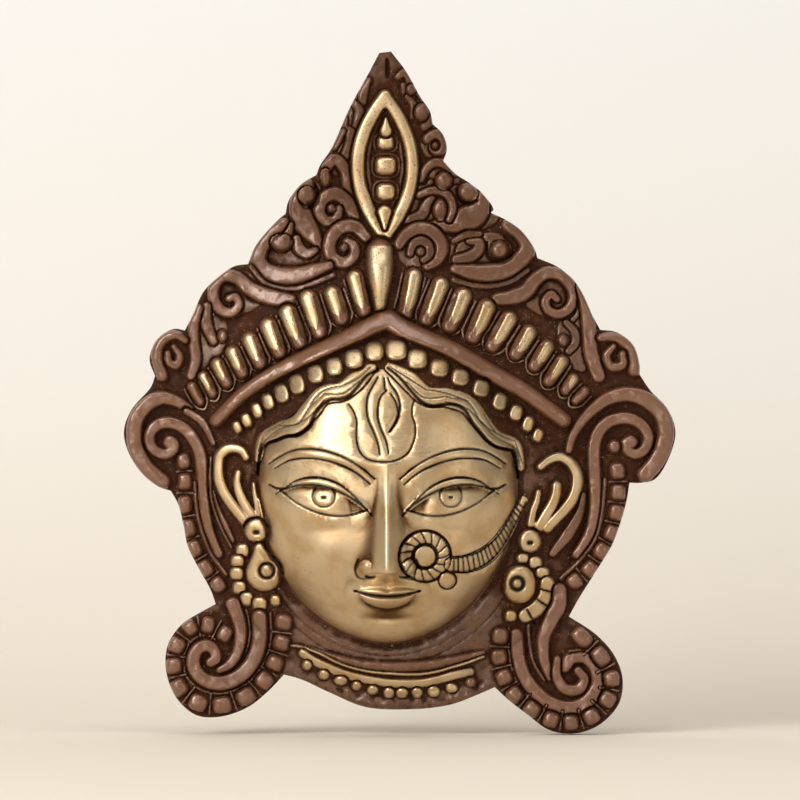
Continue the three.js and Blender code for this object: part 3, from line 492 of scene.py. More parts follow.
room_at = ALMOND["half"] * (1 - ((Z - ALMOND["z"]) / ALMOND["tall"]) ** 2).clip(0)
field = ease(1.0, 0.9, np.abs(X - ALMOND["x"]) / (0.01 + room_at))
relief += field * (-0.7 - relief)
cast(*(band(vesica(ALMOND["x"], ALMOND["z"], ALMOND["half"], ALMOND["tall"], side), wide, 3.0,
            flat=4, gold=1)
       for side, wide in ((-1, 4.5), (1, 4.1))), moat=0.8)
cast(*(band(vesica(-3, 35.4, 5.8, 17.6, side), 0.9, 0.7, flat=2) for side in (-1, 1)), moat=0.5, over=True)
for z, wide, tall, square in ((42.7, 5.3, 4.2, 3.4), (35, 6.7, 5.8, 3.4), (26.3, 6, 5.4, 3)):
    cast(boss((-2.8, z), (wide + 2.6, tall + 2.4), 0.9, flat=8, square=3), moat=0.5, over=True)
    cast(boss((-2.8, z), (wide, tall), 2.4, flat=3.2, gold=1, square=square), moat=0.9)
cast(band([(-2.7, 46.8), (-2.7, 50.6)], [4.2, 0.8], 2.2, flat=3, gold=1), moat=0.9)
cast(band([(-3.2, 19.2), (-3.1, 14)], [5.0, 1.0], 2.2, flat=3, gold=1), moat=0.9)


# Small round scrolls over the side volutes
# One on each side behind the ear end of the headband: a lip wound once round a hollow eye.
for points, wide in (
    ([(-69.8, -23.4), (-72.6, -21.6), (-76.6, -22.6), (-79.2, -26.4), (-78.8, -31), (-77.4, -35.4)],
     [2.2, 3.4, 3.8, 3.6]),
    ([(-73.6, -25.6), (-71.6, -28.6), (-72.8, -31.8), (-75.2, -30.6), (-75.6, -27.8)],
     [1.6, 2.6, 2.6, 2.0]),
    ([(69, -22.6), (73, -22.2), (77.2, -24.2), (79.8, -28.4), (80.2, -33.6)], [2.4, 3.6, 4.0, 3.8]),
    ([(73.4, -25.4), (71, -28.6), (72.6, -32.2), (76.4, -31.6), (76.4, -28)], [1.8, 2.8, 3.0, 2.4]),
):
    cast(band(points, wide, 2.6, flat=3))


# Flutes
# Ten upright flutes stand on each arm of the headband like a fence, each in a U-shaped cell with thin ribs.
# Their tops are rubbed bright, and the inner ones are the largest.
FEET = (
    ((-9.6, -14.6), (-17.1, -17.2), (-24.6, -21.6), (-31.1, -25.2), (-37.9, -28.4), (-44.2, -32.0),
     (-50.2, -35.2), (-55.4, -38.6), (-60.2, -42.0), (-64.2, -44.8)),
    ((3.6, -15.9), (10.4, -17.4), (18.2, -19.6), (25.9, -23.2), (32.2, -26.2), (40.0, -28.9), (46.3, -32.9),
     (51.0, -38.0), (56.6, -41.0), (59.9, -44.2)),
)
TOPS = (
    ((-13.5, -0.3), (-21.2, -5.7), (-29.2, -7.2), (-36.2, -11.9), (-42.8, -16.4), (-49.2, -21),
     (-54.9, -25.3), (-60.1, -29.3), (-64.8, -33.5), (-68.6, -36.8)),
    ((7, 0.2), (16.3, -2.8), (23.8, -6.6), (31.9, -10.4), (39.6, -14.2), (46.3, -18.8), (52.4, -23.6),
     (57.4, -28.5), (61.3, -34.4), (65.5, -38.8)),
)
FLUTE_WIDE = (5.6, 5.8, 6.2, 6.0, 5.6, 5.2, 4.8, 4.4, 3.8, 3.2)
FLUTE_GOLD = (1, 1, 1, 1, 1, 1, 0.95, 0.85, 0.7, 0.3)


def buff(points, wide, glow):
    """Buff a lens-shaped place bright along a line, on whatever form stands there."""
    patch, distance, share = near(smooth(points), np.max(wide))
    here = glow * (1 - ease(0.75, 1.15, distance / (along_line(wide, share) / 2)))
    shine[patch] = np.maximum(shine[patch], here)


for feet, tops, outer in zip(FEET, TOPS, (-1, 1)):
    for foot, top, wide, gold in zip(feet, tops, FLUTE_WIDE, FLUTE_GOLD):
        foot, top = np.array(foot), np.array(top)
        half_way = (foot + top) / 2
        rise = (top - foot) / math.dist(foot, top)
        sideways = np.array((rise[1], -rise[0]))
        beside = sideways * (wide / 2 + 1.1)
        neck = top - rise * 2  # the ribs stop short of the leaves above
        cell = [neck - beside, (foot + neck) / 2 - beside, foot + rise - beside * 0.95, foot - rise * 1.8,
                foot + rise + beside * 0.95, (foot + neck) / 2 + beside, neck + beside]
        cast(band(cell, 0.5, 1.5, flat=2, gold=[0, 0, 0.4, 0.5, 0.4, 0, 0]), moat=0.4, over=True)
        cast(band([foot + rise, half_way, top - rise * 2.4], [wide * 0.8, wide, wide], 3.6, flat=2.6),
             moat=0.6)
        aside = sideways * outer * wide
        buff([foot + rise * 2.6 + aside * 0.1, half_way + aside * 0.16, top - rise * 2.0 + aside * 0.12],
             [0.9, wide * 0.62, wide * 0.74, wide * 0.78, wide * 0.76], gold)
        graver([top - rise * 2.6 - aside * 0.36, half_way - aside * 0.33, foot + rise * 2.4 - aside * 0.3],
               wide * 0.26, 0.7, 0.5, 0.25)


# Finial knob
# A pear-shaped stud that hangs from the foot of the almond over the middle of the headband, polished below
# and left dark on its cap.
cast(band([(-4.7, 6.2), (-4.7, 0.6), (-4.7, -4.6), (-4.7, -9), (-4.7, -13)], [8.6, 9.0, 7.6, 5.4, 3.6],
          [4.6, 6.4, 5.8, 4.6, 3.0], flat=2.6, gold=[1, 1, 1, 1, 0.7]), moat=1.3)
cap = (np.abs(X + 4.7) < 5.5) & (np.abs(Z - 7.5) < 3.6)
shine[cap] *= ease(9.0, 7.0, Z)[cap]


# Headband
# A thick plain roll that rises to a point over the brow, brown and rubbed lighter on top, with a painted
# highlight there too. A row of polished beads sits in a groove below it.
ROLL = ([(-59.4, -50.2), (-51.6, -42.4), (-44, -36.8), (-36.3, -32.4), (-28, -28.4), (-19.7, -24.6),
         (-12, -21), (-5.3, -17.8), (-1.6, -16.8)],
        [(-1.6, -16.8), (3, -19.6), (10.3, -22.7), (18.7, -26.3), (25.3, -30), (32, -34), (38.7, -37.7),
         (45.3, -41.7), (52, -46.7), (56.6, -50)])
cast(band(ROLL[0], [4.0, 4.4, 4.8, 5.2, 6.6], 5.0, flat=3),
     band(ROLL[1], [6.6, 5.4, 5.6, 5.4, 4.8], 5.0, flat=3), moat=1.0)
BEADS = (
    (-52.3, -52.3, 2.6, 4.2), (-49.2, -50, 3.1, 4.8), (-45.7, -46.7, 3.1, 5.1), (-42, -43.7, 3.5, 5.4),
    (-37.4, -41, 4.3, 6), (-32.2, -38, 4.7, 6.3), (-26, -34.7, 4.9, 5.7), (-19.8, -32.2, 4.9, 5.7),
    (-13.3, -29.7, 5.7, 6), (-6.5, -27.2, 5.7, 6), (0.8, -26.7, 6.7, 6.7), (7.8, -29.7, 6.2, 6.3),
    (15, -32.7, 5.7, 5.7), (22, -35.7, 5.3, 5.3), (29, -39.3, 5.0, 5.5), (35.3, -43.7, 4.3, 5.5),
    (40.7, -47.5, 3.9, 5.3), (44.7, -51.2, 3.4, 5.2), (48, -55, 3.1, 4.5),
)
cast(*(boss((x, z), (wide + 0.2, tall + 0.2), 3.2, flat=5, gold=1, square=2.8, lean=-0.4 * x / 50)
       for x, z, wide, tall in BEADS), moat=1.0)


# Nose ring and its chain
# A ring of small leaves through the left wing of the nose, a round drop, and a flat chain that crosses the
# cheek to the hair. All of it is cast on the face and cut with short strokes.
RING = (10.3, -95)
FULL_TURN = np.radians(np.arange(0, 361, 20))
cast(band(arc(RING, 6.2, FULL_TURN), 4.0, 1.5, flat=3, gold=1), moat=0.8, over=True)
for a in np.radians(np.arange(0, 360, 24)):
    graver([(RING[0] + r * math.cos(a + 0.06 * r), RING[1] + r * math.sin(a + 0.06 * r))
            for r in (4.6, 6, 8)], 0.55, 0.45, 0.6)
graver(arc(RING, 4.2, FULL_TURN), 0.8, 0.6, 1)
graver(arc(RING, 8.3, FULL_TURN), 0.7, 0.5, 1)
cast(boss((17.7, -103), (5.2, 5.2), 1.6, flat=3, gold=1), moat=0.7)
UPPER = [(19.3, -95.7), (23.7, -95), (28, -93.7), (32, -91), (34.7, -88.3), (37, -85), (39, -81.7),
         (41, -78.3), (42.4, -76)]
LOWER = [(19.3, -100), (23.7, -100.3), (28.7, -98.7), (32, -96.7), (35.3, -93.3), (38, -89.3), (40, -85.7),
         (42.3, -81), (44, -77.4)]
cast(band([(np.array(a) + b) / 2 for a, b in zip(UPPER, LOWER)], [4.6, 5.4, 4.6, 3.4, 2.4], 0.8,
          flat=5, gold=1), moat=0.5, over=True)
graver(UPPER, 0.7, 0.5, 0.9)
graver(LOWER, 0.7, 0.5, 0.9)
low, high = smooth(LOWER), smooth(UPPER)
for share in np.linspace(0.02, 0.95, 20):
    a, b = low[int(share * (len(low) - 1))], high[int(share * (len(high) - 1))]
    graver([a, b], 0.55, 0.4, 0.8)


# Ears
# Long pierced ears with polished folds, and dark sunk ground between them.
for ear in (
    (([(-49.4, -62.4), (-50.6, -60.4), (-53, -59.4), (-56, -59.8), (-58.2, -62), (-58.7, -65.3),
       (-58.4, -69.7), (-57, -73.6), (-54.8, -77.2), (-52.2, -80.6), (-49.4, -84)],
      [2.2, 3.4, 3.5, 3.5, 3.5], 3.0),
     ([(-52, -67.6), (-52.4, -70.4), (-51.8, -73.6), (-50.6, -76.6), (-48.8, -79.8), (-46.6, -83.4)],
      [2.0, 3.0, 3.4], 2.8),
     ([(-46.8, -71.2), (-46.4, -74.6), (-45.6, -78.4), (-44.8, -82.6)], [0.8, 1.8, 2.4], 2.4)),
    (([(48.8, -65.6), (51.7, -63.4), (55.3, -62.3), (58.7, -64), (61, -67.7), (61.2, -71.7), (60, -75.7),
       (57.4, -79.4), (54.4, -82.6), (51.2, -86)], [2.0, 3.2, 3.8, 3.4, 3.2], 3.0),
     ([(54.3, -71.8), (54, -74.8), (52.9, -78), (50.7, -81.8), (48.6, -85.4)], [2.8, 3.4, 3.6], 2.8),
     ([(48.2, -74), (47.6, -77), (46.4, -80.4), (45.6, -84.6)], [1.4, 2.0, 2.4], 2.4)),
):
    cast(*(band(points, wide, rise, flat=4, gold=1) for points, wide, rise in ear), moat=1.0)


# Earrings
# A round stud on each lobe, and under it a drop with a ringed boss and a fringe of small beads.
for x, z, half, tall in (  # the ground under each is levelled
    (-45.9, -86.8, 4.4, 4.4), (-43.4, -101, 6.4, 6.5), (45.3, -90.3, 4.2, 4.2), (41.9, -104.8, 5.7, 6.7),
):
    under = ((X - x) / half) ** 2 + ((Z - z) / tall) ** 2 < 1
    blank[under] = np.minimum(blank[under], np.median(blank[under]) + 0.6)
for middle, wide in (((-45.9, -86.8), 8.0), ((45.3, -90.3), 7.6)):
    cast(boss(middle, (wide, wide), 3.0, flat=5, gold=1), moat=0.9)
    graver([(middle[0] - 0.3, middle[1] - 0.6), (middle[0] + 0.3, middle[1] - 0.6)], 1.9, 0.8, 1)
cast(boss((-43.4, -101), (12.0, 12.2), 3.0, flat=5, gold=1),
     band([(-44.9, -92.8), (-44.2, -97)], [3.4, 8.4], 3.0, flat=5, gold=1), moat=0.9)
cast(boss((41.9, -104.8), (10.6, 12.6), 3.0, flat=5, gold=1, square=2.2), moat=0.9)
for middle, radius, wide in (((-42.4, -100.2), 2.45, 1.2), ((41.1, -104.5), 2.1, 1.7)):
    graver(arc(middle, radius, FULL_TURN), wide, 0.9, 1)
for x, z, wide, tall in (
    (-50.6, -93.5, 4.3, 4.4), (-52.3, -97.1, 4.4, 4.0), (-52.6, -101.3, 4.5, 4.4), (-51.7, -106, 4.5, 4.4),
    (-49.2, -109.8, 4.3, 4.6), (-44.9, -111.4, 4.8, 4.6), (-39.6, -110.2, 3.3, 3.7), (43, -96, 4.0, 2.9),
    (47.2, -97.5, 4.2, 3.9), (49.6, -100.9, 4.4, 3.4), (39, -115.4, 3.6, 3.8),
):
    cast(boss((x, z), (wide, tall), 2.4, flat=4.5, gold=0.95, square=2.8), moat=0.5)
cast(band([(51.2, -104.6), (51, -108.6), (48.6, -112.4), (44, -115.4)], [4.6, 5.2, 5.2, 4.6], 2.4,
          gold=0.95), moat=0.5)
for cut in ([(48.8, -106.4), (54, -107.8)], [(47.6, -109.8), (52.4, -113)], [(44.4, -113.2), (47, -118)]):
    graver(cut, 0.7, 0.8, 0.7)


# Side volutes
# A broad plain lip sweeps over each shoulder, and inside it a stem rises beside the ear and winds into a
# boss. A column of beads follows the outer edge down to the neck.
for points, wide, rise in (
    ([(-68.6, -46.4), (-72.5, -43.9), (-77.7, -42.6), (-82.4, -44.8), (-86.2, -49.9), (-86.6, -57.7),
      (-83.2, -65.4), (-77.6, -70.6)], [2.6, 4.6, 5.0, 5.2, 5.2], 3.2),
    ([(-58.6, -94.6), (-61.5, -88), (-63, -82), (-63.6, -75), (-64.2, -67.3), (-64.9, -61.3),
      (-66.9, -56.7), (-69.4, -53.6), (-72.4, -51.6), (-76, -50.8), (-79.6, -52), (-81.6, -55),
      (-81.2, -58.6), (-79, -60.8), (-76.2, -61.4), (-73.8, -60), (-73.4, -57.8), (-74.8, -56.8)],
     [2.4, 3.2, 3.8, 3.8, 3.8, 3.4, 3.0], 3.0),
    ([(-60.8, -74), (-59.6, -79), (-57.4, -84.4), (-54.4, -90)], [1.2, 2.4, 3.2, 2.0], 2.0),
    ([(-61.2, -62.5), (-61.5, -70), (-60.9, -77), (-58.2, -85), (-54.4, -92.4)], 0.4, 1.5),
    ([(-60.4, -57.6), (-64.2, -50.6), (-69.4, -47)], [1.4, 2.4, 2.0], 2.2),
    ([(58.4, -60), (59.6, -55.6), (62.4, -51), (66.4, -46.6), (71.4, -43), (78, -41.4), (84.4, -43.4),
      (89.4, -48), (90.9, -54), (89.6, -60), (86.8, -65), (84, -68.2)], [1.8, 3.0, 4.6, 5.4, 5.4, 5.0],
     3.2),
    ([(61, -95), (65.2, -88), (66.8, -82), (67.2, -75), (67, -67.3), (66.9, -59.7), (68, -54.9),
      (70.6, -51.4), (74.6, -49.6), (79, -49.6), (83, -51.8), (84.9, -55.6), (83.9, -59.6), (81, -61.4),
      (78.2, -60.2), (77.4, -57.8), (79.2, -56.6)], [2.4, 3.2, 3.8, 3.8, 3.8, 3.4, 2.8], 3.0),
    ([(63.4, -75), (62.3, -80.6), (59.2, -86.6), (53, -94.6)], [1.2, 2.8, 3.6, 1.8], 2.0),
):
    cast(band(points, wide, rise), moat=0.9)
for middle, size in (((-75, -57.5), (4.4, 4.6)), ((79.4, -57.3), (4.2, 4.0))):
    cast(boss(middle, size, 3.0, flat=5), moat=1e-6, over=True)  # with no groove
cast(boss((73.6, -58.9), (4.2, 4.4), 2.6, flat=3))
for points in ([(-66.6, -71), (-65.9, -80), (-63.9, -88), (-60.4, -96), (-56.2, -101.6)],
               [(70.5, -70), (69.4, -81.6), (67.4, -89.4), (62.3, -96.6), (56, -103)]):
    cast(band(points, 1.1, 1.6, flat=2), moat=0.4)


def bead_row(beads, deep):
    """A row of beads that fill their cells, with a thin rib across the row between each two of them."""
    beads = np.array(beads, float)
    for one, two in zip(beads, beads[1:]):
        across = np.array((one[1] - two[1], two[0] - one[0])) / math.dist(one, two) * deep * 0.62
        middle = (one + two) / 2
        cast(band([middle - across, middle, middle + across], 0.3, 1.3, flat=2), moat=0.4, over=True)
    for k, bead in enumerate(beads):
        one, two = beads[max(0, k - 1)], beads[min(len(beads) - 1, k + 1)]
        pitch = math.dist(one, two) / (2 if 0 < k < len(beads) - 1 else 1)
        lean = math.atan2(two[1] - one[1], two[0] - one[0])
        cast(boss(bead, (pitch - 1.8, deep), 2.5, flat=3.4, square=3, lean=lean), moat=0.6)


bead_row([(-70.3, -63.7), (-69.9, -70.6), (-69.9, -78.2), (-68.7, -86.1), (-66.7, -92.9), (-62.9, -99.5),
          (-58.7, -105)], 4.4)
bead_row([(74.7, -67), (74.9, -74.2), (74.3, -80.9), (72.8, -87.8), (69.3, -93.8), (65.4, -99.8),
          (60.3, -103.9)], 4.8)


# Lower scrolls
# Two strands fall from each earring and wind outwards into a volute beside the neck, edged all round with
# beads.
for points, wide, rise in (
    ([(-41.2, -114.5), (-41.3, -124.2), (-43.6, -131.2), (-48.4, -137.4), (-56.4, -141.2), (-64.4, -140.2),
      (-69.4, -135.6), (-70.3, -129), (-67.6, -123.7), (-62.4, -121.9), (-59, -123.8)], 0.3, 1.4),
    ([(-49.4, -113.6), (-48.5, -118), (-48.3, -123.6), (-49.8, -129.4), (-53.2, -133.2), (-57.4, -135.6),
      (-61.4, -135.2), (-63.8, -132.4)], 0.5, 1.8),
    ([(-45, -115.9), (-45, -123.9), (-46.7, -129.6), (-51.1, -135.2), (-57.6, -137.9), (-63, -136.9),
      (-66.4, -133.5), (-67, -129.6), (-65.3, -126.4), (-62.4, -125.4), (-60, -127.2), (-59.6, -129.8),
      (-61.2, -131)], [4.8, 4.8, 4.8, 4.8, 4.6, 4.4, 3.8, 3.2], 3.2),
    ([(-53.8, -111.6), (-51.7, -117.4), (-51.3, -123.1), (-52.9, -128.9), (-55.3, -132), (-58.4, -133.6)],
     [4.4, 4.4, 3.8, 3.4, 3.0, 2.0], 2.8),
    ([(55.4, -106.8), (55, -111.6), (52.4, -117), (50, -123), (50.2, -130), (52, -136)],
     [4.2, 5.0, 4.2, 3.4, 2.2], 2.8),
    ([(57, -132.4), (59.6, -129.4), (63.8, -129.4), (67.4, -133), (68, -138.6), (64.6, -144),
      (58.8, -146.4), (52.6, -145), (47.4, -141), (43.4, -135.6), (41.4, -129), (40.8, -122)][::-1],
     [4.4, 4.8, 4.8, 4.4, 3.8], 3.0),
    ([(54.6, -130), (54.4, -135.6), (57.2, -140), (61.6, -140), (63.6, -136.6), (61.6, -133.8)],
     [2.0, 3.4, 3.6, 2.6], 2.6),
    ([(45, -118.6), (45.2, -124), (46.6, -131), (50.2, -137)], 0.6, 1.6),
    ([(38.4, -119.6), (38.6, -129), (41, -137.4), (46, -143.8), (52.4, -147.8), (60, -149.2), (67, -146.2),
      (70.4, -139), (69, -131.4), (64.4, -127), (58.6, -127.4)], 0.3, 1.4),
):
    cast(band(points, wide, rise), moat=0.8)
bead_row([(-56.5, -121.6), (-62.2, -118.6), (-68.2, -119.4), (-72.6, -125.4), (-73.6, -132.2),
          (-71.9, -139.4), (-65.4, -144.5), (-57.5, -145.2), (-49.6, -142.4), (-43.4, -137),
          (-39.9, -131.2), (-37.7, -124.5), (-36.9, -117.5)], 5.4)
bead_row([(62.8, -122.8), (69, -129.2), (72.6, -136.6), (71.3, -143.3), (65.9, -149), (59.2, -151),
          (52.6, -150), (46.2, -146.6), (40.4, -141.8), (36.9, -136), (35.2, -129.2), (35.6, -122.2)], 5.2)


# Collar
# A plain round fold of the neck, a thin bright edge, a flat polished band and a row of small beads over a
# rough rim.
for out in (1.07, 1.13):  # scraper marks in the hollow under the chin
    turn = np.radians(np.linspace(-140, -45, 9) + 12 * math.sin(40 * out))
    graver([(FACE["x"] + FACE["half"] * out * math.cos(a), FACE["z"] + FACE["down"] * out * math.sin(a))
            for a in turn], 0.5, 0.3, 0.2, 0.3)
cast(band([(-31, -125.4), (-20, -129.3), (-9, -131.9), (1, -132.4), (13, -131.5), (30, -127.6)],
          [0.6, 2.4, 3.2, 3.2, 2.6, 0.8], 1.4, flat=2.6), moat=0.7, over=True)
cast(band([(-34.3, -125.3), (-31.3, -125.7), (-24.7, -128), (-19.7, -130.6), (-14.7, -132.5), (-8, -134),
           (-3, -134.5), (2, -134.8), (8.7, -134.8), (14.3, -134), (18.7, -132.7), (23.7, -131.3),
           (30, -129)], 0.6, 1.6, flat=2, gold=[0.4, 0.8, 0.6, 0.9, 0.5]), moat=0.6)
cast(band([(-30.6, -127.9), (-26.7, -130.4), (-21.7, -132.7), (-16.3, -134.9), (-7.2, -137), (0, -137.9),
           (8.7, -137.9), (15, -136.7), (19.7, -135.4), (25.5, -134.2)], 2.6, 1.8, flat=4,
          gold=[0.8, 1, 0.9, 0.9, 0.5]), moat=0.7)
for x, z, wide, tall in (
    (-29.1, -131.9, 3.2, 3.2), (-23.5, -135.1, 3.5, 3.2), (-17.8, -137, 4.3, 3.0),
    (-12.5, -138.8, 3.1, 3.1), (-7.1, -140.2, 3.7, 3.1), (-1.7, -141.1, 3.5, 3.4), (2.7, -141.2, 4, 3.3),
    (7.7, -141.1, 3.6, 3.3), (13.3, -140.7, 4, 3.5), (19.3, -139.5, 4, 3.0), (25.7, -137.6, 3.6, 3),
):
    cast(boss((x, z), (wide, tall), 2.0, flat=3, gold=0.85 if x < 22 else 0.3), moat=0.6)
rough_rim = (np.abs(X) < 36) * ease(-140.5, -142.5, Z - 0.006 * X**2)


# Casting
# The carved sheet becomes the mask: yellow brass, sand cast in one piece and hollowed behind to an even
# wall, with a lug for the nail cast high up on its back. It is dipped brown, then buffed back to bright
# brass on its high parts.
WALL = 3.6
THINNEST = 2.2  # where a groove on the front meets a hollow behind
HEAD_DRAW = 1.09  # the hollow in the head is drawn in by the wall
EDGE_ROUND, EDGE_DROP = 1.9, 1.7  # the front edge of the plate is rubbed round
BACK_HOLLOWS = (  # ovals: X and Z of the middle, half width, half height
    (-3, 37, 9, 22), (-2, 10, 28, 21), (0, -16, 52, 17), (-72, -55, 13, 11), (77, -56, 13, 11),
    (-60, -134, 9, 10), (60, -139, 11, 10), (0, -126, 27, 14),
)
MOST_TRIANGLES = 196000


def lumps(size, seed):
    """Soft random lumps about size millimetres across."""
    made = blurred(np.random.default_rng(seed).standard_normal(X.shape), size / 3)
    return made / made.std()


# the sand's skin shows where nothing was filed, and the front edge is rubbed round
matt = 1 - shine
cast_skin = matt * (0.10 * lumps(3.2, 1) + 0.07 * lumps(1.4, 2)) + 0.03 * shine * lumps(9, 3)
relief += cast_skin + 0.3 * rough_rim * lumps(2.4, 4)
drop = 1 - np.sqrt(1 - (1 - inland / EDGE_ROUND).clip(0, 1) ** 2)
front = blank + relief - EDGE_DROP * drop

# the back is a wall's thickness behind the front: flat hollows, and a deep one in the head
behind = np.zeros_like(X)
for x, z, rx, rz in BACK_HOLLOWS:
    behind[((X - x) / rx) ** 2 + ((Z - z) / rz) ** 2 < 1] = RIM_DEPTH - WALL
far = ((X - SWELL["x"]) / (SWELL["rx"] - WALL)) ** 2 + ((Z - SWELL["z"]) / (SWELL["rz"] - WALL)) ** 2
behind = np.maximum(behind, (far < 1) * (RIM_DEPTH - WALL + SWELL["rise"] * (1 - far).clip(0) ** 0.7))
drawn_in = place * HEAD_DRAW
behind = np.maximum(behind, (drawn_in < 1)
                    * (FACE["edge"] - WALL + FACE["rise"] * (1 - drawn_in**2.3).clip(0) ** 0.55))
behind = np.minimum(blurred(behind, 0.5), front - THINNEST).clip(0)

# brown stays in the hollows, which are also painted darker as shade, and is worn thin on what stands
# proud, which also carries a painted highlight
even = blurred(relief, 1.1)
broad = blurred(relief, 3.0)
hollow = ((even - relief) / 1.1).clip(0, 1) + ((broad - relief) / 3.2).clip(0, 1)
hollow += 0.3 * ease(0.7, 0.2, relief) * matt * ease(36, 42, np.hypot(X, Z + 132))  # the low matt ground away from the neck counts partly as hollow, so it is painted darker too
upper_lip = np.exp(-((u / 11) ** 6) - ((Z - MOUTH["z"] - 3) / 4.5) ** 4)
hollow *= 1 - 0.95 * upper_lip  # buffed clean, for all that the nose stands over it
shine *= 1 - 0.8 * ease(0.35, 0.8, hollow)  # the brown stays where the buff can't reach
# the high tops, which the material makes lighter both by rubbing wear and by a painted highlight
worn_and_highlit = ((relief - broad) / 1.6).clip(0, 1)
LOOKS = {"shine": shine, "hollow": hollow.clip(0, 1), "worn_and_highlit": worn_and_highlit, "ink": ink}

bpy.ops.object.select_all(action="DESELECT")
bpy.ops.mesh.primitive_grid_add(x_subdivisions=columns - 1, y_subdivisions=rows - 1, size=1)
mask = bpy.context.object
mask.name = "brass_mask"
mesh = mask.data


def places(mesh):
    """Every vertex of a mesh, as rows of X, Y and Z."""
    made = np.empty(3 * len(mesh.vertices))
    mesh.vertices.foreach_get("co", made)
    return made.reshape(-1, 3)


def cells_of(spots):
    """The row and column of the sheet under each spot of the unit grid."""
    return (np.rint((spots[:, 1] + 0.5) * (rows - 1)).astype(int),
            np.rint((spots[:, 0] + 0.5) * (columns - 1)).astype(int))


# the squares of the sheet that lie outside the outline are cut away
a, b = outline, np.roll(outline, -1, 0)
kept = np.zeros((rows - 1, columns - 1), bool)
for row, z in enumerate(upward[:-1] + CELL / 2):
    cut = (a[:, 1] > z) != (b[:, 1] > z)
    crossing = a[cut, 0] + (z - a[cut, 1]) * (b[cut, 0] - a[cut, 0]) / (b[cut, 1] - a[cut, 1])
    kept[row] = ((across[:-1, None] + CELL / 2) > crossing).sum(1) % 2 == 1
corners = np.empty(4 * len(mesh.polygons), int)
mesh.polygons.foreach_get("vertices", corners)
row, column = cells_of(places(mesh))
corners = corners.reshape(-1, 4)
outside = ~kept[row[corners].min(1), column[corners].min(1)]
bpy.ops.object.mode_set(mode="EDIT")
bpy.ops.mesh.select_mode(type="FACE")
bpy.ops.mesh.select_all(action="DESELECT")
bpy.ops.object.mode_set(mode="OBJECT")
mesh.polygons.foreach_set("select", outside)
bpy.ops.object.mode_set(mode="EDIT")
bpy.ops.mesh.delete(type="FACE")
bpy.ops.object.mode_set(mode="OBJECT")

# the flat sheet gets a second side, and then every point moves to its own depth
thick = mask.modifiers.new("thickness", "SOLIDIFY")
thick.thickness = 0.1
thick.offset = 1
bpy.ops.object.modifier_apply(modifier=thick.name)
spots = places(mesh)
row, column = cells_of(spots)
touching = sum(np.pad(kept, pads).astype(int)
               for pads in (((0, 1), (0, 1)), ((1, 0), (0, 1)), ((0, 1), (1, 0)), ((1, 0), (1, 0))))
snapped_x, snapped_z = X.copy(), Z.copy()
for j, i in np.argwhere((touching > 0) & (touching < 4)):  # the rim's points move onto the outline
    best = np.argmin((outline[:, 0] - X[j, i]) ** 2 + (outline[:, 1] - Z[j, i]) ** 2)
    snapped_x[j, i], snapped_z[j, i] = outline[best]
    front[j, i] = blank[j, i] + min(relief[j, i], 0.4) - EDGE_DROP
is_front = spots[:, 2] > 0.05
depth = np.where(is_front, front[row, column], behind[row, column])
moved = np.stack([snapped_x[row, column], -depth, snapped_z[row, column]], 1) * MM
mesh.vertices.foreach_set("co", moved.ravel())
mesh.update()

bpy.ops.object.mode_set(mode="EDIT")
bpy.ops.mesh.select_all(action="SELECT")
bpy.ops.mesh.normals_make_consistent(inside=False)
bpy.ops.object.mode_set(mode="OBJECT")
thin = mask.modifiers.new("fewer_faces", "DECIMATE")
thin.ratio = min(1.0, MOST_TRIANGLES / (2 * len(mesh.polygons)))
thin.use_collapse_triangulate = True
bpy.ops.object.modifier_apply(modifier=thin.name)

# the four walls of the lug round its eye: lowest and highest X, lowest and highest Z, and how deep rooted
LUG = (
    (-9, 9, -3, 3, 11.0), (-9, 9, -16, -12, 13.4), (-9, -5.5, -13, -2, 12.2), (5.5, 9, -13, -2, 12.2),
)
for left, right, low, high, root in LUG:
    middle = [(left + right) / 2 * MM, -root / 2 * MM, (low + high) / 2 * MM]
    size = [(right - left) * MM, root * MM, (high - low) * MM]
    bpy.ops.mesh.primitive_cube_add(size=1, location=middle, scale=size)
    bpy.ops.object.transform_apply(location=True, rotation=True, scale=True)
    part = bpy.context.object
    soft = part.modifiers.new("cast_edges", "BEVEL")
    soft.width, soft.segments = 0.6 * MM, 3
    bpy.ops.object.modifier_apply(modifier=soft.name)
    bpy.ops.object.select_all(action="DESELECT")
    part.select_set(True)
    mask.select_set(True)
    bpy.context.view_layer.objects.active = mask
    bpy.ops.object.join()
bpy.ops.object.shade_smooth()

# each point takes the finish of its place on the sheet, and the back takes the plain patina
spots = places(mesh) / MM
at_x = ((spots[:, 0] - corner[0]) / CELL).clip(0, columns - 1.001)
at_z = ((spots[:, 2] - corner[1]) / CELL).clip(0, rows - 1.001)
j, i = at_z.astype(int), at_x.astype(int)
down, along = at_z - j, at_x - i
on_front = -spots[:, 1] > (front[j, i] + behind[j, i]) / 2
for name, values in LOOKS.items():
    picked = ((values[j, i] * (1 - along) + values[j, i + 1] * along) * (1 - down)
              + (values[j + 1, i] * (1 - along) + values[j + 1, i + 1] * along) * down)
    mesh.attributes.new(name, "FLOAT", "POINT").data.foreach_set("value", np.where(on_front, picked, 0.0))


def linear(hex_colour):
    """An sRGB hex colour as linear red, green, blue and a full alpha."""
    parts = [int(hex_colour[k:k + 2], 16) / 255 for k in (1, 3, 5)]
    return [*((c / 12.92 if c <= 0.04045 else ((c + 0.055) / 1.055) ** 2.4) for c in parts), 1.0]


def add(tree, kind, inputs=(), out=0, **settings):
    """Add a node with its settings, set or link its inputs, and give one of its outputs."""
    made = tree.nodes.new("ShaderNode" + kind)
    for name, value in settings.items():
        setattr(made, name, value)
    for name, value in dict(inputs).items():
        if isinstance(value, bpy.types.NodeSocket):
            tree.links.new(value, made.inputs[name])
        else:
            made.inputs[name].default_value = linear(value) if isinstance(value, str) else value
    return made.outputs[out]
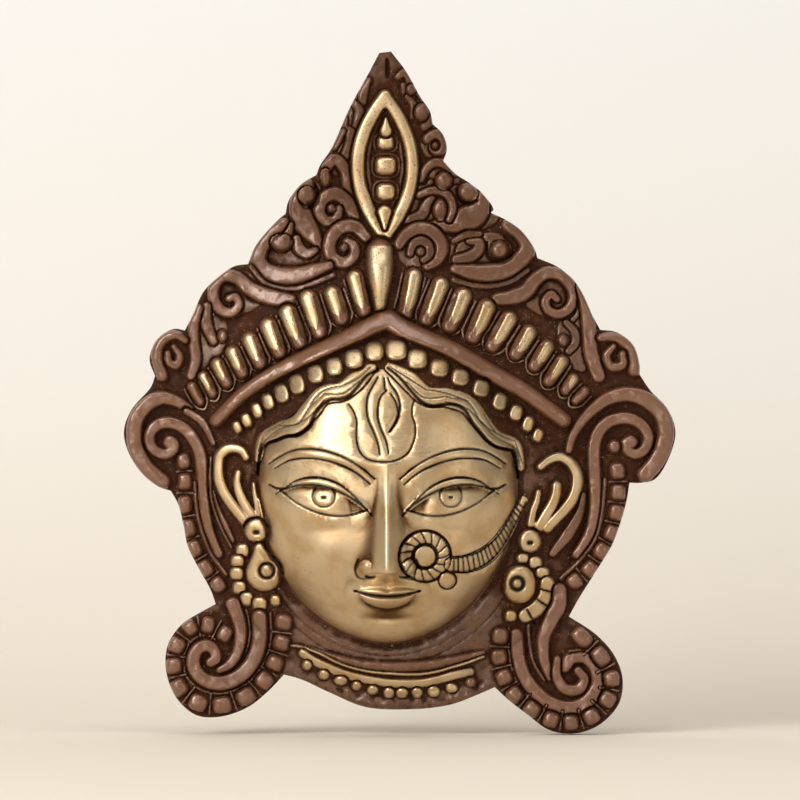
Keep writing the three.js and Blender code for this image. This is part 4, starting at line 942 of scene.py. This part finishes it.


# Brass with a brown dip patina: satin dark brown, lighter on the tops where hands and cloth rub it and a
# highlight is painted, and painted black-brown as shade in the recesses and darker high on the crown. On the
# high parts the bare yellow brass shows, brushed fine, with the small pits of a sand casting, and painted
# darker as shade in its recesses.
finish = bpy.data.materials.new("buffed_brass_with_brown_patina")
finish.use_nodes = True
tree = finish.node_tree
tree.nodes.clear()
where = add(tree, "TexCoord", out="Object")
level = add(tree, "SeparateXYZ", {"Vector": where}, out="Z")
polish, sunk, rubbed_and_highlit, blacked = (add(tree, "Attribute", out="Fac", attribute_name=name) for name in LOOKS)

# how wide the lumps of each pattern are in millimetres, and how fine their detail
strokes = add(tree, "Mapping", {"Vector": where, "Rotation": (0.0, 0.5, 0.0), "Scale": (0.035, 1.0, 1.0)})
grain, blotch, dust, sand, drift, sown, speck, crust, brushed = (
    add(tree, "TexNoise", {"Vector": vector, "Scale": 1 / (wide * MM), "Detail": detail})
    for wide, detail, vector in (
        (0.7, 4, where), (9, 3, where), (0.45, 1, where), (1.0, 3, where), (2.6, 2, where),
        (5, 2, where), (0.6, 2, where), (1.4, 1, where), (0.35, 3, strokes),
    )
)
pit = add(tree, "TexVoronoi", {"Vector": where, "Scale": 1 / (1.7 * MM), "Randomness": 1.0}, out="Distance")
uneven = add(tree, "Math", {0: grain, 1: 0.35, 2: -0.175}, operation="MULTIPLY_ADD")
buffed = add(tree, "Math", {0: polish, 1: uneven}, operation="ADD")

# soft steps: in what, between which two values, and what they give at each end
step = {
    name: add(tree, "MapRange", {"Value": value, "From Min": low, "From Max": high, "To Min": first,
                                 "To Max": last}, interpolation_type="SMOOTHSTEP")
    for name, value, low, high, first, last in (
        ("bare brass", buffed, 0.35, 0.62, 0, 1),
        ("painted recess shade", sunk, 0.06, 0.7, 0, 1),
        ("dark grain", grain, 0.54, 0.66, 0, 1),
        ("cloud", blotch, 0.42, 0.66, 0, 1),
        ("wear and painted highlight", rubbed_and_highlit, 0.1, 0.8, 0, 1),
        # painted shade high on the crown: the lighter tops fade and the patina darkens there
        ("less wear and highlight high up", level, -0.05, 0, 0.65, 0.4),
        ("painted shade high up", level, -0.02, 0.04, 0, 0.35),
        ("strewn", drift, 0.46, 0.62, 0, 1),
        ("ground", sunk, 0.08, 0.25, 0, 1),
        ("gilt dust", dust, 0.56, 0.7, 0, 1),
        ("pit", pit, 0.13, 0.08, 0, 1),
        ("pitted patch", sown, 0.5, 0.62, 0, 1),
        ("tarnish", blotch, 0.35, 0.7, 0, 1),
        ("painted recess shade on brass", sunk, 0.05, 0.6, 0, 1),
        ("speck", speck, 0.6, 0.68, 0, 1),
        ("crown", level, -0.05, -0.03, 0, 1),
        ("crust", crust, 0.77, 0.8, 0, 1),
        ("damp recess", sunk, 0.2, 0.4, 0, 1),
        ("matt recess", sunk, 0.1, 0.7, 1, 0.15),
        ("matt crown", level, -0.02, 0.04, 1, 0.6),
        ("patina roughness", sunk, 0, 0.5, 0.17, 0.6),
        ("brass roughness", brushed, 0.3, 0.7, 0.34, 0.48),
        ("sandy recess", sunk, 0.02, 0.3, 0, 2.5),
    )
}
bright = step["bare brass"]
strewn, pits, specks, verdigris = (
    add(tree, "Math", {0: step[one], 1: step[two]}, operation="MULTIPLY")
    for one, two in (("strewn", "ground"), ("pit", "pitted patch"), ("speck", "crown"),
                     ("crust", "damp recess"))
)
gilt = add(tree, "Math", {0: step["gilt dust"], 1: strewn}, operation="MULTIPLY")


def coated(colour, *coats):
    """The colour under coats that cover a share of it, each thinned by a strength."""
    for share, strength, coat in coats:
        cover = add(tree, "Math", {0: share, 1: strength}, operation="MULTIPLY")
        colour = add(tree, "Mix", {"Factor": cover, 6: colour, 7: coat}, out=2, data_type="RGBA")
    return colour


patina = coated(
    "#66401f",
    # painted shade: the patina is darkened in the recesses
    (step["painted recess shade"], 1, "#3a1f11"),
    (step["dark grain"], 0.6, "#331a0e"),
    (step["cloud"], 0.5, "#45230f"),
    # rubbing wear and painted highlight: the patina is lighter on the high tops
    (step["wear and painted highlight"], step["less wear and highlight high up"], "#835a42"),
    (step["painted shade high up"], 1, "#3a1f10"),  # painted shade: the patina is darker high on the crown
    (gilt, 0.5, "#94744a"),
)
brass = coated(
    "#d3bc98",
    # painted shade: the bare brass is darkened in its recesses
    (step["tarnish"], 1, "#c2a47a"),
    (step["painted recess shade on brass"], 1, "#6a4c2c"),
    (pits, 0.8, "#3c2614"),
    (specks, 0.7, "#5c3f22"),  # the crown is buffed less
)
colour = coated(patina, (bright, 1, brass), (blacked, 0.95, "#140b06"), (verdigris, 0.6, "#8fb5a2"))

dulled = add(tree, "Math", {0: blacked, 1: verdigris}, operation="MAXIMUM")
clean = add(tree, "Math", {0: 1.0, 1: dulled}, operation="SUBTRACT")
show = add(tree, "MapRange", {"Value": bright, "To Min": 0.2}, interpolation_type="SMOOTHSTEP")
metal = add(tree, "Math", {0: show, 1: clean}, operation="MULTIPLY")
sheen = add(tree, "Math", {0: step["matt recess"], 1: clean}, operation="MULTIPLY")
sheen = add(tree, "Math", {0: sheen, 1: step["matt crown"]}, operation="MULTIPLY")
dip = add(tree, "Math", {0: blotch, 1: 0.25, 2: step["patina roughness"]}, operation="MULTIPLY_ADD")
rough = add(tree, "Mix", {"Factor": bright, "A": dip, "B": step["brass roughness"]})
crumbly = add(tree, "Math", {0: dulled, 1: 0.75}, operation="MULTIPLY")
rough = add(tree, "Math", {0: rough, 1: crumbly}, operation="MAXIMUM")

# the casting's skin, in tenths of a millimetre, and over it the fine strokes of the buff on bare brass
skin = add(tree, "Math", {0: pits, 1: -1.5, 2: grain}, operation="MULTIPLY_ADD")
skin = add(tree, "Math", {0: sand, 1: step["sandy recess"], 2: skin}, operation="MULTIPLY_ADD")
softened = add(tree, "MapRange", {"Value": bright, "To Min": 0.5, "To Max": 0.16},
               interpolation_type="SMOOTHSTEP")
rough_skin = add(tree, "Bump", {"Height": skin, "Strength": softened, "Distance": 0.12 * MM})
stroke = add(tree, "Math", {0: bright, 1: 0.2}, operation="MULTIPLY")
filed = add(tree, "Bump", {"Height": brushed, "Strength": stroke, "Distance": 0.04 * MM,
                           "Normal": rough_skin})
shader = add(tree, "BsdfPrincipled", {"Base Color": colour, "Metallic": metal, "Roughness": rough,
                                      "Specular IOR Level": sheen, "Normal": filed})
tree.links.new(shader, tree.nodes.new("ShaderNodeOutputMaterial").inputs["Surface"])
mesh.materials.clear()
mesh.materials.append(finish)
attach(mask, "root")
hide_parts("mask_casting")


# Studio
# A pale cream paper sweep under and behind the mask, clear when it is looked at from its back, a large soft
# box at the upper left, a weaker one at the right, and a long lens at the height of the nose, square to the
# wall.
FLOOR = -0.1553
bpy.ops.object.select_all(action="DESELECT")
bpy.ops.mesh.primitive_plane_add(size=6, location=(0, -2.4, FLOOR))
sweep = bpy.context.object
sweep.name = "pale_sweep"
bpy.ops.object.transform_apply(location=True)
bpy.ops.object.mode_set(mode="EDIT")
bpy.ops.mesh.select_mode(type="EDGE")
bpy.ops.mesh.select_all(action="DESELECT")
bpy.ops.object.mode_set(mode="OBJECT")
for edge in sweep.data.edges:
    edge.select = all(sweep.data.vertices[k].co.y > 0.5 for k in edge.vertices)
bpy.ops.object.mode_set(mode="EDIT")
bpy.ops.mesh.extrude_edges_move(TRANSFORM_OT_translate={"value": (0, 0, 4)})
bpy.ops.object.mode_set(mode="OBJECT")
fold = sweep.modifiers.new("fold", "BEVEL")
fold.width, fold.segments = 0.5, 24
bpy.ops.object.modifier_apply(modifier=fold.name)
bpy.ops.object.shade_smooth()
paper = bpy.data.materials.new("cream_studio_paper")
paper.use_nodes = True
tree = paper.node_tree
tree.nodes.clear()
height = add(tree, "SeparateXYZ", {"Vector": add(tree, "TexCoord", out="Object")}, out="Z")
# painted shade: the paper's colour darkens and warms towards the floor
up_share = add(tree, "MapRange", {"Value": height, "From Min": FLOOR, "From Max": 0.12})
tone = add(tree, "ValToRGB", {"Fac": up_share})
stops = tone.node.color_ramp.elements
for k, (place_up, shade) in enumerate(((0.0, "#ded6c8"), (0.42, "#e4e0d8"), (1.0, "#e6e6e5"))):
    stop = stops[k] if k < 2 else stops.new(place_up)
    stop.position, stop.color = place_up, linear(shade)
sheet = add(tree, "BsdfPrincipled", {"Base Color": tone, "Roughness": 0.9})
clear = add(tree, "BsdfTransparent")
from_behind = add(tree, "NewGeometry", out="Backfacing")
one_way = add(tree, "MixShader", {0: from_behind, 1: sheet, 2: clear})
tree.links.new(one_way, tree.nodes.new("ShaderNodeOutputMaterial").inputs["Surface"])
sweep.data.materials.append(paper)

for name, stand, size, watts, tint in (
    ("key_soft_box", (-1.2, -1.5, 1.0), (1.0, 1.0), 28, "#fffaf6"),
    ("front_soft_box", (-0.8, -2.3, 0.1), (1.3, 0.9), 10, "#fffaf6"),
    ("fill_soft_box", (1.5, -1.6, 0.4), (0.6, 1.2), 4.6, "#fff6ea"),
    ("top_soft_box", (0.1, -0.7, 1.6), (1.2, 0.5), 5.5, "#ffffff"),
    ("sweep_light", (0.0, -0.4, 2.4), (3.0, 1.0), 10.5, "#fffdf8"),
):
    bpy.ops.object.light_add(type="AREA", location=stand)
    lamp = bpy.context.object
    lamp.name = name
    lamp.data.shape = "RECTANGLE"
    lamp.data.size, lamp.data.size_y = size
    lamp.data.energy = watts
    lamp.data.color = linear(tint)[:3]
    target = np.array((0, 0.4 if name == "sweep_light" else -0.02, -0.05))
    aim = target - np.array(stand)
    lamp.rotation_euler = (math.acos(-aim[2] / np.linalg.norm(aim)), 0,
                           math.atan2(aim[1], aim[0]) - math.pi / 2)
room = bpy.data.worlds.new("studio")
room.use_nodes = True
room.node_tree.nodes["Background"].inputs["Color"].default_value = linear("#f4efe8")
room.node_tree.nodes["Background"].inputs["Strength"].default_value = 0.4
bpy.context.scene.world = room

VIEW_WIDTH, LENS_DISTANCE, MEAN_DEPTH = 0.8 / 3, 2.5, 0.015  # 800 pixels, three to the millimetre
bpy.ops.object.camera_add(location=(0.002, -LENS_DISTANCE, -0.0433), rotation=(math.pi / 2, 0, 0))
camera = bpy.context.object
camera.data.sensor_width = 36
camera.data.lens = 36 * (LENS_DISTANCE - MEAN_DEPTH) / VIEW_WIDTH
camera.data.clip_end = 20
bpy.context.scene.camera = camera
bpy.context.scene.view_settings.view_transform = "Standard"
